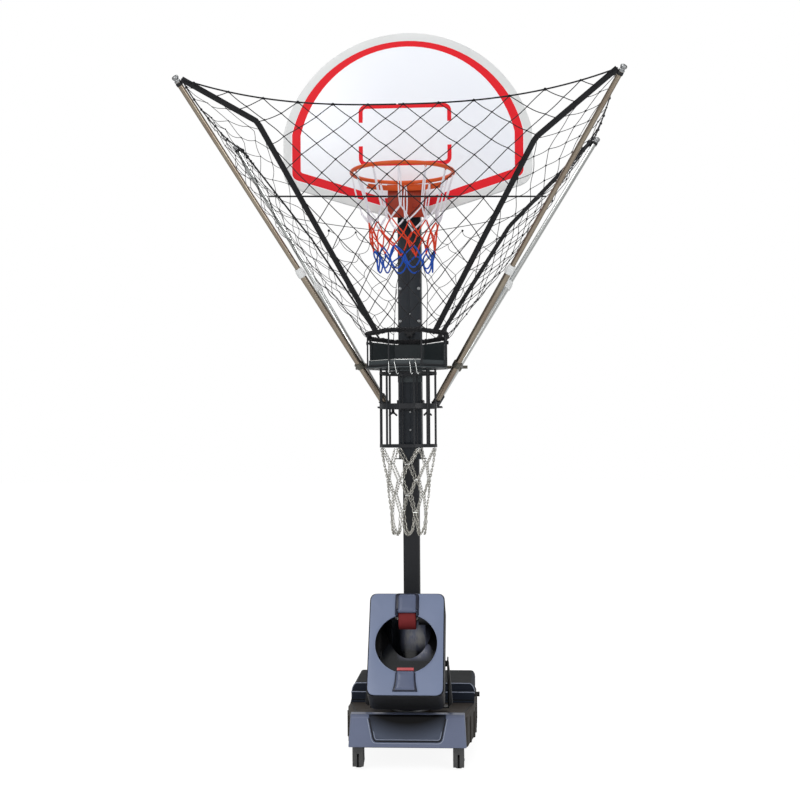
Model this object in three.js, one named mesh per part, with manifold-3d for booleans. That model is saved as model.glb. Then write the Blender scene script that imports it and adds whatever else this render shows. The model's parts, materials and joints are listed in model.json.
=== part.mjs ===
// A basketball shooting machine: a wheeled base with a throwing head, a mast with a height-adjustable hoop,
// and a collecting net on four telescopic arms that drops the ball through a cage into the head.
// Millimetres, +Z up, front towards -Y. Everything is placed from the mast's axis; the origin is the point on
// the floor below the middle of the whole machine.
import * as THREE from 'three';
import { mergeVertices } from 'three/addons/utils/BufferGeometryUtils.js';
import Module from 'manifold-3d';

const wasm = await Module();
wasm.setup();

// Fits between neighbours
const gap = 0.3;
const over = 2;
const axleSides = 12;
const tyreSides = 24;
// how far to either side a net surface is sampled for its normal, as a share of its size
const nudge = 0.01;

// Base
const base = {
  halfWidth: 302, front: -398, rear: 430, skirt: 100, deck: 240, wall: 5, corner: 60,
  ribs: 6, ribDepth: 6, ribWidth: 22,
};
const chassis = { halfWidth: 288, bottom: 112, thick: 8, edge: 8, corner: 40 };
const cover = { halfWidth: 304, front: -45, top: 346, steps: [257, 309], stepRun: 32, wall: 5, corner: 50 };
const bumper = {
  halfWidth: 273, depth: 72, bottom: 117, top: 265, nose: 34, nosePush: 11.3, noseDrop: 8.5, lean: 12, recess: 10, recessTopShare: 0.7,
  recessBottomShare: 0.6, sill: 26, wall: 6,
};
const caster = {
  x: 234, y: -385, radius: 40, width: 32, trail: 24, plate: 60, sheet: 4, side: 5, axle: 7, cheek: 20,
    bore: 7.5,
};
const rearWheel = { x: 262, y: 230, radius: 45, width: 34 };
const battery = { width: 200, depth: 150, height: 95, y: 290 };
const control = { width: 130, depth: 190, height: 60, x: 190, y: 90 };
const knob = { radius: 13, length: 20, z: 275, y: 0, grip: 6 };

// Mast and hoop post
const mast = { width: 80, wall: 4, top: 2550 };
const socket = { width: 104, flange: 170, flangeThick: 8, top: 330 };
const post = { width: 115, wall: 5, bottom: 1435, aboveRim: 140, cap: 5 };
const pad = { height: 55, inset: 12 };
const bolt = {
  radius: 8, smallRadius: 5.6, head: 5, x: 46, pairRises: [516, 683, 845], smallRises: [145, 234, 719],
};
const lock = { aboveBasket: 184, radius: 22, length: 24, stem: 6, lobes: 6, lobe: 6, lobeBack: 8 };

// Hoop and board
const rim = {
  inner: 225, tube: 9, centre: -540, z: 2760, hooks: 12, hookRadius: 3, hookDrop: 14,
  band: 26, bandThick: 3, bandDrop: 12, bandHalfAngle: 0.8,
};
const bracket = { halfWidth: 88, belowRim: 162, wall: 6, noseBack: 27 };
const board = {
  face: -166, thick: 30, sheet: 6, halfWidth: 609, bulge: 15, belowRim: 132, flat: 110, footRise: 137,
  straight: 271, corner: 58, edge: 12, arcSteps: 12,
};
const frame = { bar: 30, x: 150, rise: 32, height: 460, belowTop: 60, plate: 8, clamp: 60 };
const hoopNet = {
  width: 7, crown: 8.3, length: 442, levelShare: [0, 0.25, 0.49, 0.745, 1],
    radiusShare: [1, 0.86, 0.74, 0.655, 0.61],
};
const boardBottom = rim.z - board.belowRim;
const postTop = rim.z + post.aboveRim;

// Basket, cage and chain
const basket = { bottom: 1876, height: 154, sheet: 3, hoopTube: 5, rod: 4, below: 6 };
const ring = {
  sides: 8, across: 370, tube: 8, centre: -251, z: basket.bottom + basket.height, tilt: 0.08, lug: 34,
    knob: 14,
  knobRadius: 9,
};
const lockZ = basket.bottom + lock.aboveBasket;
const shelf = { thick: 4, hole: 131, flange: 60, rim: 8 };
const cage = {
  radius: 136, centre: -212, rods: 12, rod: 4, band: 5, ringDrops: [373, 183, 25], ringHeight: 12,
    bandHeight: 26,
  standoff: 24,
};
const cageRings = cage.ringDrops.map((drop) => basket.bottom - drop);
const chain = {
  width: 8, crown: 7.5, columns: 8, length: 410, levelShare: [0, 0.18, 0.36, 0.54, 0.74, 1],
  radiusShare: [1, 0.87, 0.78, 0.71, 0.65, 0.54],
};

// Arms and collecting net
const footPlate = {
  z: basket.bottom - 188, thick: 8, x: 158, front: -108, rear: 22, collarWall: 8, collarHeight: 40,
    toFoot: 24,
};
const arm = {
  footX: 126, footFront: -82, footRear: -14, footZ: footPlate.z + footPlate.toFoot, tipX: 985, tipFront: -868,
  tipRear: 532, rise: 1431, sleeveRadius: 16, rodRadius: 12.5, rodWall: 2, collarRise: 628, collar: 46,
  collarRadius: 21, insert: 130, cap: 34, capRadius: 16, cup: 52, cupWall: 5, sides: 8,
};
const stay = {
  z: basket.bottom + 19, bar: 9, clamp: 30, clampWall: 5, rear: 74, overhang: 28, yoke: 12,
};
const net = {
  cells: 4, rows: 5, cord: 5, footShare: 0.74, tipClear: 3.2, knotReach: 1.5, ropeSag: 150, ropeCurve: 2.5,
  kinks: { fl: [0.837, 190], fr: [0.754, 150], rl: [0.5, 25], rr: [0.55, 85] },
  bulge: 190, bulgeCurve: 0.7, sideBulge: 50, sideSag: 40, rearSag: 50, beltRow: 6, postGap: 14,
  postShare: 0.25, closeShare: 0.6, seam: 3.8,
};

// Throwing head
const head = {
  yawY: -190, centreY: -500, centreZ: 600, width: 350, height: 498, depth: 205, tilt: Math.PI / 6, corner: 24,
  panel: 8, wall: 5, mouth: 143, notch: 45, notchTop: 160, pivotY: -330, pivotZ: 480, pivot: 14,
  pivotLength: 22, discSteps: 40,
};
const shroud = { halfTop: 56, halfLow: 46, proud: 14, topFrom: 162, lowFrom: -146, lowTo: -226 };
const hopper = { inner: 125, wall: 4, bottom: 296, top: 724, chamfer: 70, forward: 10 };
const wheel = { radius: 54, width: 80, upperU: 150, upperD: 62, lowerU: -166, lowerD: 74, hub: 24,
  bore: 9.7, axle: 9 };
const motor = { radius: 33, length: 84, collar: 13 };
const turntable = { radius: 104, thick: 8, bearingInner: 58, bearingOuter: 96, bearing: 9.4, shaft: 10 };
const yoke = { inner: 182, sheet: 6, rear: -18, front: -80, eye: 30 };
const gearmotor = { radius: 42, head: 30 };
const chute = { inner: 126, sheet: 4, centreU: -8, front: 133, rear: 196, halfAngle: 1.75 };

const steel = (color, roughness = 0.4, metalness = 0.9) =>
  new THREE.MeshStandardMaterial({ color, roughness, metalness });
const plastic = (color, roughness = 0.5) =>
  new THREE.MeshStandardMaterial({ color, roughness, metalness: 0 });
const finish = {
  blackSteel: steel(0x1d2024, 0.45, 0.6), chrome: steel(0xc4c2ba, 0.2, 1), orange: steel(0xd4511e, 0.4, 0.4),
  zinc: steel(0xa9acb0, 0.35, 1), blackPlastic: plastic(0x17181b, 0.5), faceGrey: plastic(0x7c88a5, 0.4),
  coverGrey: plastic(0x2c2f38, 0.4), boardWhite: plastic(0xe9eef6, 0.3), paleGrey: plastic(0xc9ccd2, 0.4),
  redRubber: plastic(0xa23a33, 0.7), blackRubber: plastic(0x1a1a1a, 0.9), nylon: plastic(0xe4e2dc, 0.5),
  smoked: plastic(0x3a3d42, 0.2), cord: plastic(0x16161a, 0.9), netWhite: plastic(0xe8e8ea, 0.9),
};

// Solids: every shape becomes a closed body that can be joined and cut
const bodyOf = (geometry) => {
  const g = geometry.clone();
  g.deleteAttribute('normal');
  g.deleteAttribute('uv');
  const merged = mergeVertices(g, 1e-4);
  return new wasm.Manifold(new wasm.Mesh({
    numProp: 3,
    vertProperties: new Float32Array(merged.attributes.position.array),
    triVerts: new Uint32Array(merged.index.array),
  }));
};
const geometryOf = (body) => {
  const { vertProperties, triVerts } = body.getMesh();
  const g = new THREE.BufferGeometry();
  g.setAttribute('position', new THREE.BufferAttribute(new Float32Array(vertProperties), 3));
  g.setIndex(new THREE.BufferAttribute(new Uint32Array(triVerts), 1));
  g.computeVertexNormals();
  return g;
};
const join = (...parts) => parts.flat().reduce((all, part) => all.add(part));
const cut = (body, ...tools) => tools.flat().reduce((rest, tool) => rest.subtract(tool), body);

const V = (x, y, z) => new THREE.Vector3(x, y, z);
const block = (x0, x1, y0, y1, z0, z1) => bodyOf(new THREE.BoxGeometry(x1 - x0, y1 - y0, z1 - z0)
  .translate((x0 + x1) / 2, (y0 + y1) / 2, (z0 + z1) / 2));

// Turns a solid made along +Z so that it runs from one point towards another
const aim = (geometry, from, to) => {
  const turn = new THREE.Quaternion().setFromUnitVectors(V(0, 0, 1), to.clone().sub(from).normalize());
  return geometry.applyQuaternion(turn).translate(from.x, from.y, from.z);
};
const cylinder = (radius, length, sides, top = radius) =>
  new THREE.CylinderGeometry(top, radius, length, sides)
  .rotateX(Math.PI / 2).translate(0, 0, length / 2);
const rod = (from, to, radius, sides = 8, top = radius) =>
  bodyOf(aim(cylinder(radius, from.distanceTo(to), sides, top), from, to));
const upright = (radius, z0, z1, x, y, sides = 16) => rod(V(x, y, z0), V(x, y, z1), radius, sides);
const pipe = (from, to, outer, inner, sides) => {
  const length = from.distanceTo(to);
  return cut(rod(from, to, outer, sides), bodyOf(aim(cylinder(inner, length + 2 * over, sides)
    .translate(0, 0, -over), from, to)));
};
const hoop = (inner, outer, z0, z1, y, sides = 24) => bodyOf(new THREE.LatheGeometry(
  [[inner, z0], [outer, z0], [outer, z1], [inner, z1],
    [inner, z0]].map(([r, z]) => new THREE.Vector2(r, z)), sides)
  .rotateX(Math.PI / 2).translate(0, y, 0));
const outline = (halfX, y0, y1, corner, sides = 4) => {
  const shape = new THREE.Shape();
  shape.absarc(halfX - corner, y0 + corner, corner, -Math.PI / 2, 0);
  shape.absarc(halfX - corner, y1 - corner, corner, 0, Math.PI / 2);
  shape.absarc(corner - halfX, y1 - corner, corner, Math.PI / 2, Math.PI);
  shape.absarc(corner - halfX, y0 + corner, corner, Math.PI, Math.PI * 1.5);
  return new THREE.Shape(shape.getPoints(sides));
};
const slab = (shape, z0, z1, curveSegments = 6) => bodyOf(
  new THREE.ExtrudeGeometry(shape, { depth: z1 - z0, bevelEnabled: false, curveSegments })
    .translate(0, 0, z0));
// A side profile in (y, z), as wide as the two x values
const acrossX = (profile, x0, x1) => bodyOf(new THREE.ExtrudeGeometry(
  new THREE.Shape(profile.map(([y, z]) => new THREE.Vector2(y, z))), { depth: x1 - x0, bevelEnabled: false })
  .applyMatrix4(new THREE.Matrix4().set(0, 0, 1, x0, 1, 0, 0, 0, 0, 1, 0, 0, 0, 0, 0, 1)));

const machine = new THREE.Group();
machine.name = 'shooting_machine';
machine.position.y = -(arm.tipFront + arm.tipRear) / 2;
const add = (name, body, material) => {
  const mesh = new THREE.Mesh(body.isBufferGeometry ? body : geometryOf(body), material);
  mesh.name = name;
  machine.add(mesh);
};

// Knotted cord: each knot is a small flat polygon with a corner between neighbouring strands, and each strand
// is a four-sided bar that shares two corners with the knot at either end, so the whole net is one closed body
function knotted(knots, links, width) {
  const position = [];
  const index = [];
  const strands = knots.map(() => []);
  links.forEach(([a, b]) => {
    strands[a].push({ to: b });
    strands[b].push({ to: a });
  });
  const quad = (a, b, c, d) => index.push(a, b, c, a, c, d);
  const corners = knots.map(({ at, normal }, k) => {
    const right = new THREE.Vector3().subVectors(knots[strands[k][0].to].at, at).projectOnPlane(normal)
      .normalize();
    const ahead = normal.clone().cross(right);
    const list = strands[k];
    list.forEach((s) => {
      const d = knots[s.to].at.clone().sub(at);
      s.angle = (Math.atan2(d.dot(ahead), d.dot(right)) + 2 * Math.PI) % (2 * Math.PI);
    });
    list.sort((p, q) => p.angle - q.angle);
    const put = (angle, reach) => {
      const p = at.clone().addScaledVector(right, Math.cos(angle) * reach)
        .addScaledVector(ahead, Math.sin(angle) * reach);
      const first = position.length / 3;
      [width / 2, -width / 2].forEach((h) => position.push(...p.clone().addScaledVector(normal, h)
        .toArray()));
      return first;
    };
    if (list.length === 1) {
      const a = list[0].angle;
      const pair = [put(a + Math.PI / 2, width / 2), put(a - Math.PI / 2, width / 2)];
      quad(pair[1], pair[0], pair[0] + 1, pair[1] + 1);
      return pair;
    }
    const made = list.map((s, i) => {
      const next = list[(i + 1) % list.length];
      const turn = ((next.angle - s.angle + 2 * Math.PI) % (2 * Math.PI)) || 2 * Math.PI;
      return put(s.angle + turn / 2, Math.min(width / 2 / Math.sin(turn / 2), width * net.knotReach));
    });
    for (let i = 1; i < made.length - 1; i += 1) {
      index.push(made[0], made[i], made[i + 1]);
      index.push(made[0] + 1, made[i + 1] + 1, made[i] + 1);
    }
    return made;
  });
  const sides = (k, to) => {
    const i = strands[k].findIndex((s) => s.to === to);
    const n = corners[k].length;
    return { left: corners[k][i % n], right: corners[k][(i + n - 1) % n] };
  };
  links.forEach(([a, b]) => {
    const p = sides(a, b);
    const q = sides(b, a);
    const [rA, lA, rB, lB] = [p.right, p.left, q.left, q.right];
    quad(rA, rB, lB, lA);
    quad(lA + 1, lB + 1, rB + 1, rA + 1);
    quad(rA + 1, rB + 1, rB, rA);
    quad(lA, lB, lB + 1, lA + 1);
  });
  const g = new THREE.BufferGeometry();
  g.setAttribute('position', new THREE.BufferAttribute(new Float32Array(position), 3));
  g.setIndex(index);
  g.computeVertexNormals();
  return g;
}

// A tubular net round a vertical axis: level by level, shifted by half a column
function tubularNet(columns, levels, radii, y, width, offset = 0) {
  const knots = [];
  const links = [];
  levels.forEach((z, j) => {
    for (let k = 0; k < columns; k += 1) {
      const a = ((k + ((j + offset) % 2) / 2) / columns) * 2 * Math.PI - Math.PI / 2;
      const out = V(Math.cos(a), Math.sin(a), 0);
      knots.push({ at: out.clone().multiplyScalar(radii[j]).add(V(0, y, z)), normal: out });
      if (j === 0) continue;
      const below = j * columns + k;
      const shift = (j + offset) % 2 ? 1 : -1;
      links.push([below, (j - 1) * columns + k],
        [below, (j - 1) * columns + (k + shift + columns) % columns]);
    }
  });
  return knotted(knots, links, width);
}

// Wheels and casters
function addWheels() {
  const roller = (x, y, z, radius, width, sides) =>
    bodyOf(new THREE.CylinderGeometry(radius, radius, width, sides)
    .rotateY(Math.PI / sides).rotateZ(Math.PI / 2).translate(x, y, z));
  // the tyre stands on one of its flats
  const axleHeight = (radius) => radius * Math.cos(Math.PI / tyreSides);
  const tyre = (x, y, radius, width) => cut(roller(x, y, axleHeight(radius), radius, width, tyreSides),
    roller(x, y, axleHeight(radius), caster.bore, width + 2 * over, axleSides));
  const fork = (x, y, axleY, wheelRadius, width) => {
    const radius = axleHeight(wheelRadius);
    const inner = width / 2 + caster.side / 2;
    const outer = inner + caster.side;
    const plateTop = chassis.bottom - gap;
    const plateBottom = plateTop - caster.sheet;
    const cheek = (side) => acrossX([[y - caster.cheek, plateTop], [axleY - caster.cheek, radius],
      [axleY - caster.axle, radius - caster.cheek],
      [axleY + caster.axle, radius - caster.cheek], [axleY + caster.cheek, radius],
        [y + caster.cheek, plateTop]],
    x + Math.min(side * inner, side * outer), x + Math.max(side * inner, side * outer));
    return join(
      block(x - caster.plate / 2, x + caster.plate / 2, y - caster.plate / 2, y + caster.plate / 2,
        plateBottom, plateTop),
      cheek(-1), cheek(1),
      roller(x, axleY, radius, caster.axle, 2 * (outer + caster.side), axleSides));
  };
  ['left', 'right'].forEach((name, i) => {
    const side = i ? 1 : -1;
    const x = side * caster.x;
    add(`front_fork_${name}`, fork(x, caster.y, caster.y + caster.trail, caster.radius, caster.width),
      finish.blackSteel);
    add(`front_wheel_${name}`, tyre(x, caster.y + caster.trail, caster.radius, caster.width),
      finish.blackRubber);
    add(`rear_bracket_${name}`, fork(side * rearWheel.x, rearWheel.y, rearWheel.y, rearWheel.radius,
      rearWheel.width), finish.blackSteel);
    add(`rear_wheel_${name}`, tyre(side * rearWheel.x, rearWheel.y, rearWheel.radius, rearWheel.width),
      finish.blackRubber);
  });
}

// Chassis, tub, cover, bumper and what they hold
function addBase() {
  const top = chassis.bottom + chassis.thick;
  const plateOutline = outline(chassis.halfWidth, base.front + chassis.edge, base.rear - chassis.edge,
    chassis.corner);
  add('chassis', slab(plateOutline, chassis.bottom, top), finish.blackSteel);

  const outer = slab(outline(base.halfWidth, base.front, base.rear, base.corner), base.skirt, base.deck);
  const inner = slab(outline(base.halfWidth - base.wall, base.front + base.wall, base.rear - base.wall,
    base.corner - base.wall),
    base.skirt - over, base.deck - base.wall);
  const ribs = [];
  for (let i = 0; i < base.ribs; i += 1) {
    const y = base.front + base.corner * 2 + (i * (base.rear - base.front - base.corner * 3)) / base.ribs;
    [-1, 1].forEach((side) => ribs.push(block(
      Math.min(side * (base.halfWidth - over), side * (base.halfWidth + base.ribDepth)),
      Math.max(side * (base.halfWidth - over), side * (base.halfWidth + base.ribDepth)),
      y, y + base.ribWidth, base.skirt, cover.steps[0] - 2 * base.wall - base.ribWidth)));
  }
  const casterRoom = [-1, 1].map((side) => upright(caster.plate + caster.trail, base.skirt - over,
    chassis.bottom + over,
    side * caster.x, caster.y));
  add('base_tub', cut(join(outer, ribs), inner, casterRoom,
    block(-socket.width / 2 - gap, socket.width / 2 + gap, -socket.width / 2 - gap, socket.width / 2 + gap,
      base.skirt, base.deck + over),
    upright(turntable.shaft + gap, base.skirt, base.deck + over, 0, head.yawY)), finish.coverGrey);

  const [low, high] = cover.steps;
  const profile = (inset) => [
    [cover.front + inset, base.deck + gap - (inset ? over : 0)], [cover.front + inset, low - inset],
      [cover.front + cover.stepRun + inset, low - inset],
    [cover.front + cover.stepRun + inset, high - inset],
      [cover.front + 2 * cover.stepRun + inset, high - inset],
    [cover.front + 2 * cover.stepRun + inset, cover.top - inset],
      [base.rear - cover.corner - inset, cover.top - inset],
    [base.rear - inset, cover.top - cover.corner - inset],
      [base.rear - inset, base.deck + gap - (inset ? over : 0)]];
  const slabAcross = (half, z0, z1) => acrossY([[-half, z0], [half, z0], [half, z1 - cover.corner],
    [half - cover.corner / 2, z1], [cover.corner / 2 - half, z1], [-half, z1 - cover.corner]],
  cover.front - over, base.rear + over);
  const lean = (body, inset) =>
    body.intersect(slabAcross(cover.halfWidth - inset, base.deck - over, cover.top + over));
  add('base_cover', cut(lean(acrossX(profile(0), -cover.halfWidth, cover.halfWidth), 0),
    lean(acrossX(profile(cover.wall), cover.wall - cover.halfWidth, cover.halfWidth - cover.wall),
      cover.wall),
    block(-socket.width / 2 - gap, socket.width / 2 + gap, -socket.width / 2 - gap, socket.width / 2 + gap,
      base.deck, cover.top + over)),
  finish.coverGrey);

  const back = base.front - gap;
  const nose = back - bumper.depth;
  const side = (inset) => [[back - inset / 2, bumper.bottom - (inset ? over : 0)],
    [nose + inset, bumper.bottom - (inset ? over : 0)],
    [nose + bumper.lean + inset, bumper.top - bumper.nose - inset],
    [nose + bumper.lean + bumper.nosePush + inset, bumper.top - bumper.noseDrop - inset],
    [nose + bumper.nose + bumper.lean + inset, bumper.top - inset],
    [back - inset / 2, bumper.top - inset]];
  const recessHalf = bumper.halfWidth * bumper.recessTopShare;
  const recessLow = bumper.halfWidth * bumper.recessBottomShare;
  const recess = acrossY([[-recessLow, bumper.bottom + bumper.sill], [recessLow, bumper.bottom + bumper.sill],
    [recessHalf, bumper.top + over], [-recessHalf, bumper.top + over]], nose - over,
      nose + bumper.lean + bumper.recess);
  add('front_bumper', cut(acrossX(side(0), -bumper.halfWidth, bumper.halfWidth),
    acrossX(side(bumper.wall + bumper.recess), bumper.wall - bumper.halfWidth,
      bumper.halfWidth - bumper.wall), recess), finish.coverGrey);

  add('battery', block(-battery.width / 2, battery.width / 2, battery.y - battery.depth / 2,
    battery.y + battery.depth / 2,
    top + gap, top + gap + battery.height), finish.blackPlastic);
  add('control_box', block(control.x - control.width / 2, control.x + control.width / 2,
    control.y - control.depth / 2,
    control.y + control.depth / 2, top + gap, top + gap + control.height), finish.paleGrey);
  const x = cover.halfWidth + gap;
  add('power_knob', join(rod(V(x, knob.y, knob.z), V(x + knob.length, knob.y, knob.z), knob.radius, 12),
    block(x + knob.length - over, x + knob.length + knob.grip, knob.y - knob.grip / 2, knob.y + knob.grip / 2,
      knob.z - knob.radius, knob.z + knob.radius)), finish.blackPlastic);
}
function acrossY(profile, y0, y1) {
  return bodyOf(new THREE.ExtrudeGeometry(new THREE.Shape(profile.map(([x, z]) => new THREE.Vector2(x, z))),
    { depth: y1 - y0, bevelEnabled: false }).rotateX(Math.PI / 2).translate(0, y1, 0));
}

// Mast, socket, hoop post and pads
const squareTube = (width, wall, z0, z1) => cut(block(-width / 2, width / 2, -width / 2, width / 2, z0, z1),
  block(wall - width / 2, width / 2 - wall, wall - width / 2, width / 2 - wall, z0 - over, z1 + over));
function addMast() {
  const floor = chassis.bottom + chassis.thick + gap;
  add('mast', squareTube(mast.width, mast.wall, floor, mast.top), finish.blackSteel);
  const bore = mast.width + 2 * gap;
  add('mast_socket', cut(join(block(-socket.width / 2, socket.width / 2, -socket.width / 2,
    socket.width / 2, floor, socket.top),
    block(-socket.flange / 2, socket.flange / 2, -socket.flange / 2, socket.flange / 2, floor,
      floor + socket.flangeThick)),
  block(-bore / 2, bore / 2, -bore / 2, bore / 2, floor - over, socket.top + over)), finish.blackSteel);

  const half = post.width / 2;
  const front = -half;
  const heads = [];
  const boltHead = (x, rise, radius) => rod(V(x, front + over, post.bottom + rise),
    V(x, front - bolt.head, post.bottom + rise), radius, 8);
  bolt.pairRises.forEach((rise) => [-1, 1].forEach((side) =>
    heads.push(boltHead(side * bolt.x, rise, bolt.radius))));
  bolt.smallRises.forEach((rise) => heads.push(boltHead(0, rise, bolt.smallRadius)));
  const shell = join(squareTube(post.width, post.wall, post.bottom, postTop),
    block(-half, half, -half, half, postTop - post.cap, postTop), heads);
  add('hoop_post', cut(shell, rod(V(0, front - over, lockZ), V(0, 0, lockZ), lock.stem + gap, 12)),
    finish.blackSteel);
  const padWall = (post.width - 2 * post.wall - mast.width) / 2 - 2 * gap;
  const padWidth = post.width - 2 * post.wall - 2 * gap;
  add('slide_pad_lower', squareTube(padWidth, padWall, post.bottom + pad.inset,
    post.bottom + pad.inset + pad.height), finish.nylon);
  add('slide_pad_upper', squareTube(padWidth, padWall, mast.top - pad.inset - pad.height,
    mast.top - pad.inset), finish.nylon);

  const lobes = [];
  for (let i = 0; i < lock.lobes; i += 1) {
    const a = (i / lock.lobes) * 2 * Math.PI;
    const at = (y) => V(Math.cos(a) * lock.radius, y, lockZ + Math.sin(a) * lock.radius);
    lobes.push(rod(at(front - lock.length), at(front - lock.lobeBack), lock.lobe, 8));
  }
  add('lock_knob', join(rod(V(0, front - gap - lock.length, lockZ), V(0, front - gap, lockZ), lock.radius,
    12),
    rod(V(0, front - over, lockZ), V(0, -mast.width / 2 - gap, lockZ), lock.stem, 12), lobes),
      finish.blackPlastic);
}

// Board outline in (x, z): an arc over upright sides, then slanting feet to a flat bottom
function boardShape(inset = 0) {
  const half = board.halfWidth - inset;
  const arc = board.halfWidth + board.bulge;
  const radius = arc - inset;
  const centre = boardBottom + board.footRise + board.straight - Math.sqrt(arc ** 2 - board.halfWidth ** 2);
  const side = Math.acos(half / radius);
  const shape = new THREE.Shape();
  shape.absarc(0, centre, radius, side, Math.PI - side);
  const slope = Math.atan2(board.footRise, board.halfWidth - board.flat);
  const corner = Math.max(board.corner - inset, board.edge);
  const footZ = boardBottom + board.footRise + inset / Math.cos(slope)
    + corner * Math.tan((Math.PI / 2 - slope) / 2) - inset * Math.tan(slope);
  shape.absarc(corner - half, footZ, corner, Math.PI, 1.5 * Math.PI - slope);
  shape.lineTo(-board.flat, boardBottom + inset);
  shape.lineTo(board.flat, boardBottom + inset);
  shape.absarc(half - corner, footZ, corner, 1.5 * Math.PI + slope, 2 * Math.PI);
  return new THREE.Shape(shape.getPoints(board.arcSteps));
}
function addHoop() {
  const back = board.face + board.thick;
  const place = (shape, y0, y1) => bodyOf(new THREE.ExtrudeGeometry(shape,
    { depth: y1 - y0, bevelEnabled: false })
    .rotateX(Math.PI / 2).translate(0, y1, 0));
  add('backboard', cut(place(boardShape(), board.face, board.face + board.sheet)), finish.boardWhite);
  add('board_edge', cut(place(boardShape(), board.face + board.sheet + gap, back),
    place(boardShape(board.edge), board.face, back + over)), finish.paleGrey);

  const seat = board.face + board.sheet + gap;
  const front = -post.width / 2 - gap;
  const low = boardBottom + frame.rise;
  const high = low + frame.height;
  const upper = postTop - frame.belowTop;
  const uprights = [-1, 1].map((side) => block(side * frame.x - frame.bar / 2, side * frame.x + frame.bar / 2,
    seat, seat + frame.bar, low, high));
  const cross = (z) => block(-frame.x, frame.x, seat, seat + frame.bar, z, z + frame.bar);
  const spread = frame.x + frame.bar;
  const clampPlate = (z) => block(-frame.clamp, frame.clamp, seat + frame.bar - over, front, z,
    z + frame.plate);
  add('board_frame', join(uprights, cross(low), cross(high - frame.bar),
    [low, upper].map((z) => block(-spread, spread, seat, seat + frame.bar, z, z + frame.bar)),
    [low + frame.plate, upper].map(clampPlate),
    block(-frame.clamp, frame.clamp, front - frame.plate, front, low, upper + frame.bar)), finish.blackSteel);

  const rimMean = rim.inner + rim.tube;
  const hooks = [];
  for (let i = 0; i < rim.hooks; i += 1) {
    const a = ((i + 0.5) / rim.hooks) * 2 * Math.PI;
    const at = (z) => V(Math.cos(a) * rimMean, rim.centre + Math.sin(a) * rimMean, z);
    hooks.push(rod(at(rim.z - rim.hookDrop), at(rim.z), rim.hookRadius, 4));
  }
  const bandTop = rim.z - rim.bandDrop;
  const wedge = acrossZ([[0, rim.centre], [rimMean * Math.sin(rim.bandHalfAngle) * 2,
    rim.centre + rimMean * Math.cos(rim.bandHalfAngle) * 2],
    [-rimMean * Math.sin(rim.bandHalfAngle) * 2, rim.centre + rimMean * Math.cos(rim.bandHalfAngle) * 2]],
      rim.z - 3 * rim.band, rim.z);
  const band = hoop(rimMean + rim.tube - rim.bandThick, rimMean + rim.tube, bandTop - rim.band,
    bandTop + rim.tube, rim.centre, 36).intersect(wedge);
  const plateBack = board.face - gap;
  const rimPlate = block(-bracket.halfWidth, bracket.halfWidth, rim.centre + rimMean,
    plateBack - bracket.wall, rim.z - rim.tube - bracket.wall, rim.z - rim.tube + over);
  add('rim', join(bodyOf(new THREE.TorusGeometry(rimMean, rim.tube, 6, 40).translate(0, rim.centre, rim.z)),
    hooks, band, rimPlate), finish.orange);
  const roof = rim.z - rim.tube - bracket.wall - gap;
  const bracketBottom = rim.z - bracket.belowRim;
  const nose = rim.centre + rimMean + bracket.noseBack;
  add('rim_bracket', cut(block(-bracket.halfWidth, bracket.halfWidth, nose, plateBack, bracketBottom, roof),
    block(bracket.wall - bracket.halfWidth, bracket.halfWidth - bracket.wall, nose + bracket.wall,
      plateBack + over, bracketBottom - over,
      roof - bracket.wall),
  ), finish.orange);
  const netTop = rim.z - rim.hookDrop - gap - hoopNet.crown;
  add('hoop_net', tubularNet(rim.hooks, hoopNet.levelShare.map((share) => netTop - share * hoopNet.length),
    hoopNet.radiusShare.map((share) => share * rimMean), rim.centre, hoopNet.width, 1), finish.netWhite);
}
function acrossZ(points, z0, z1) {
  return slab(new THREE.Shape(points.map(([x, y]) => new THREE.Vector2(x, y))), z0, z1);
}

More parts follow.
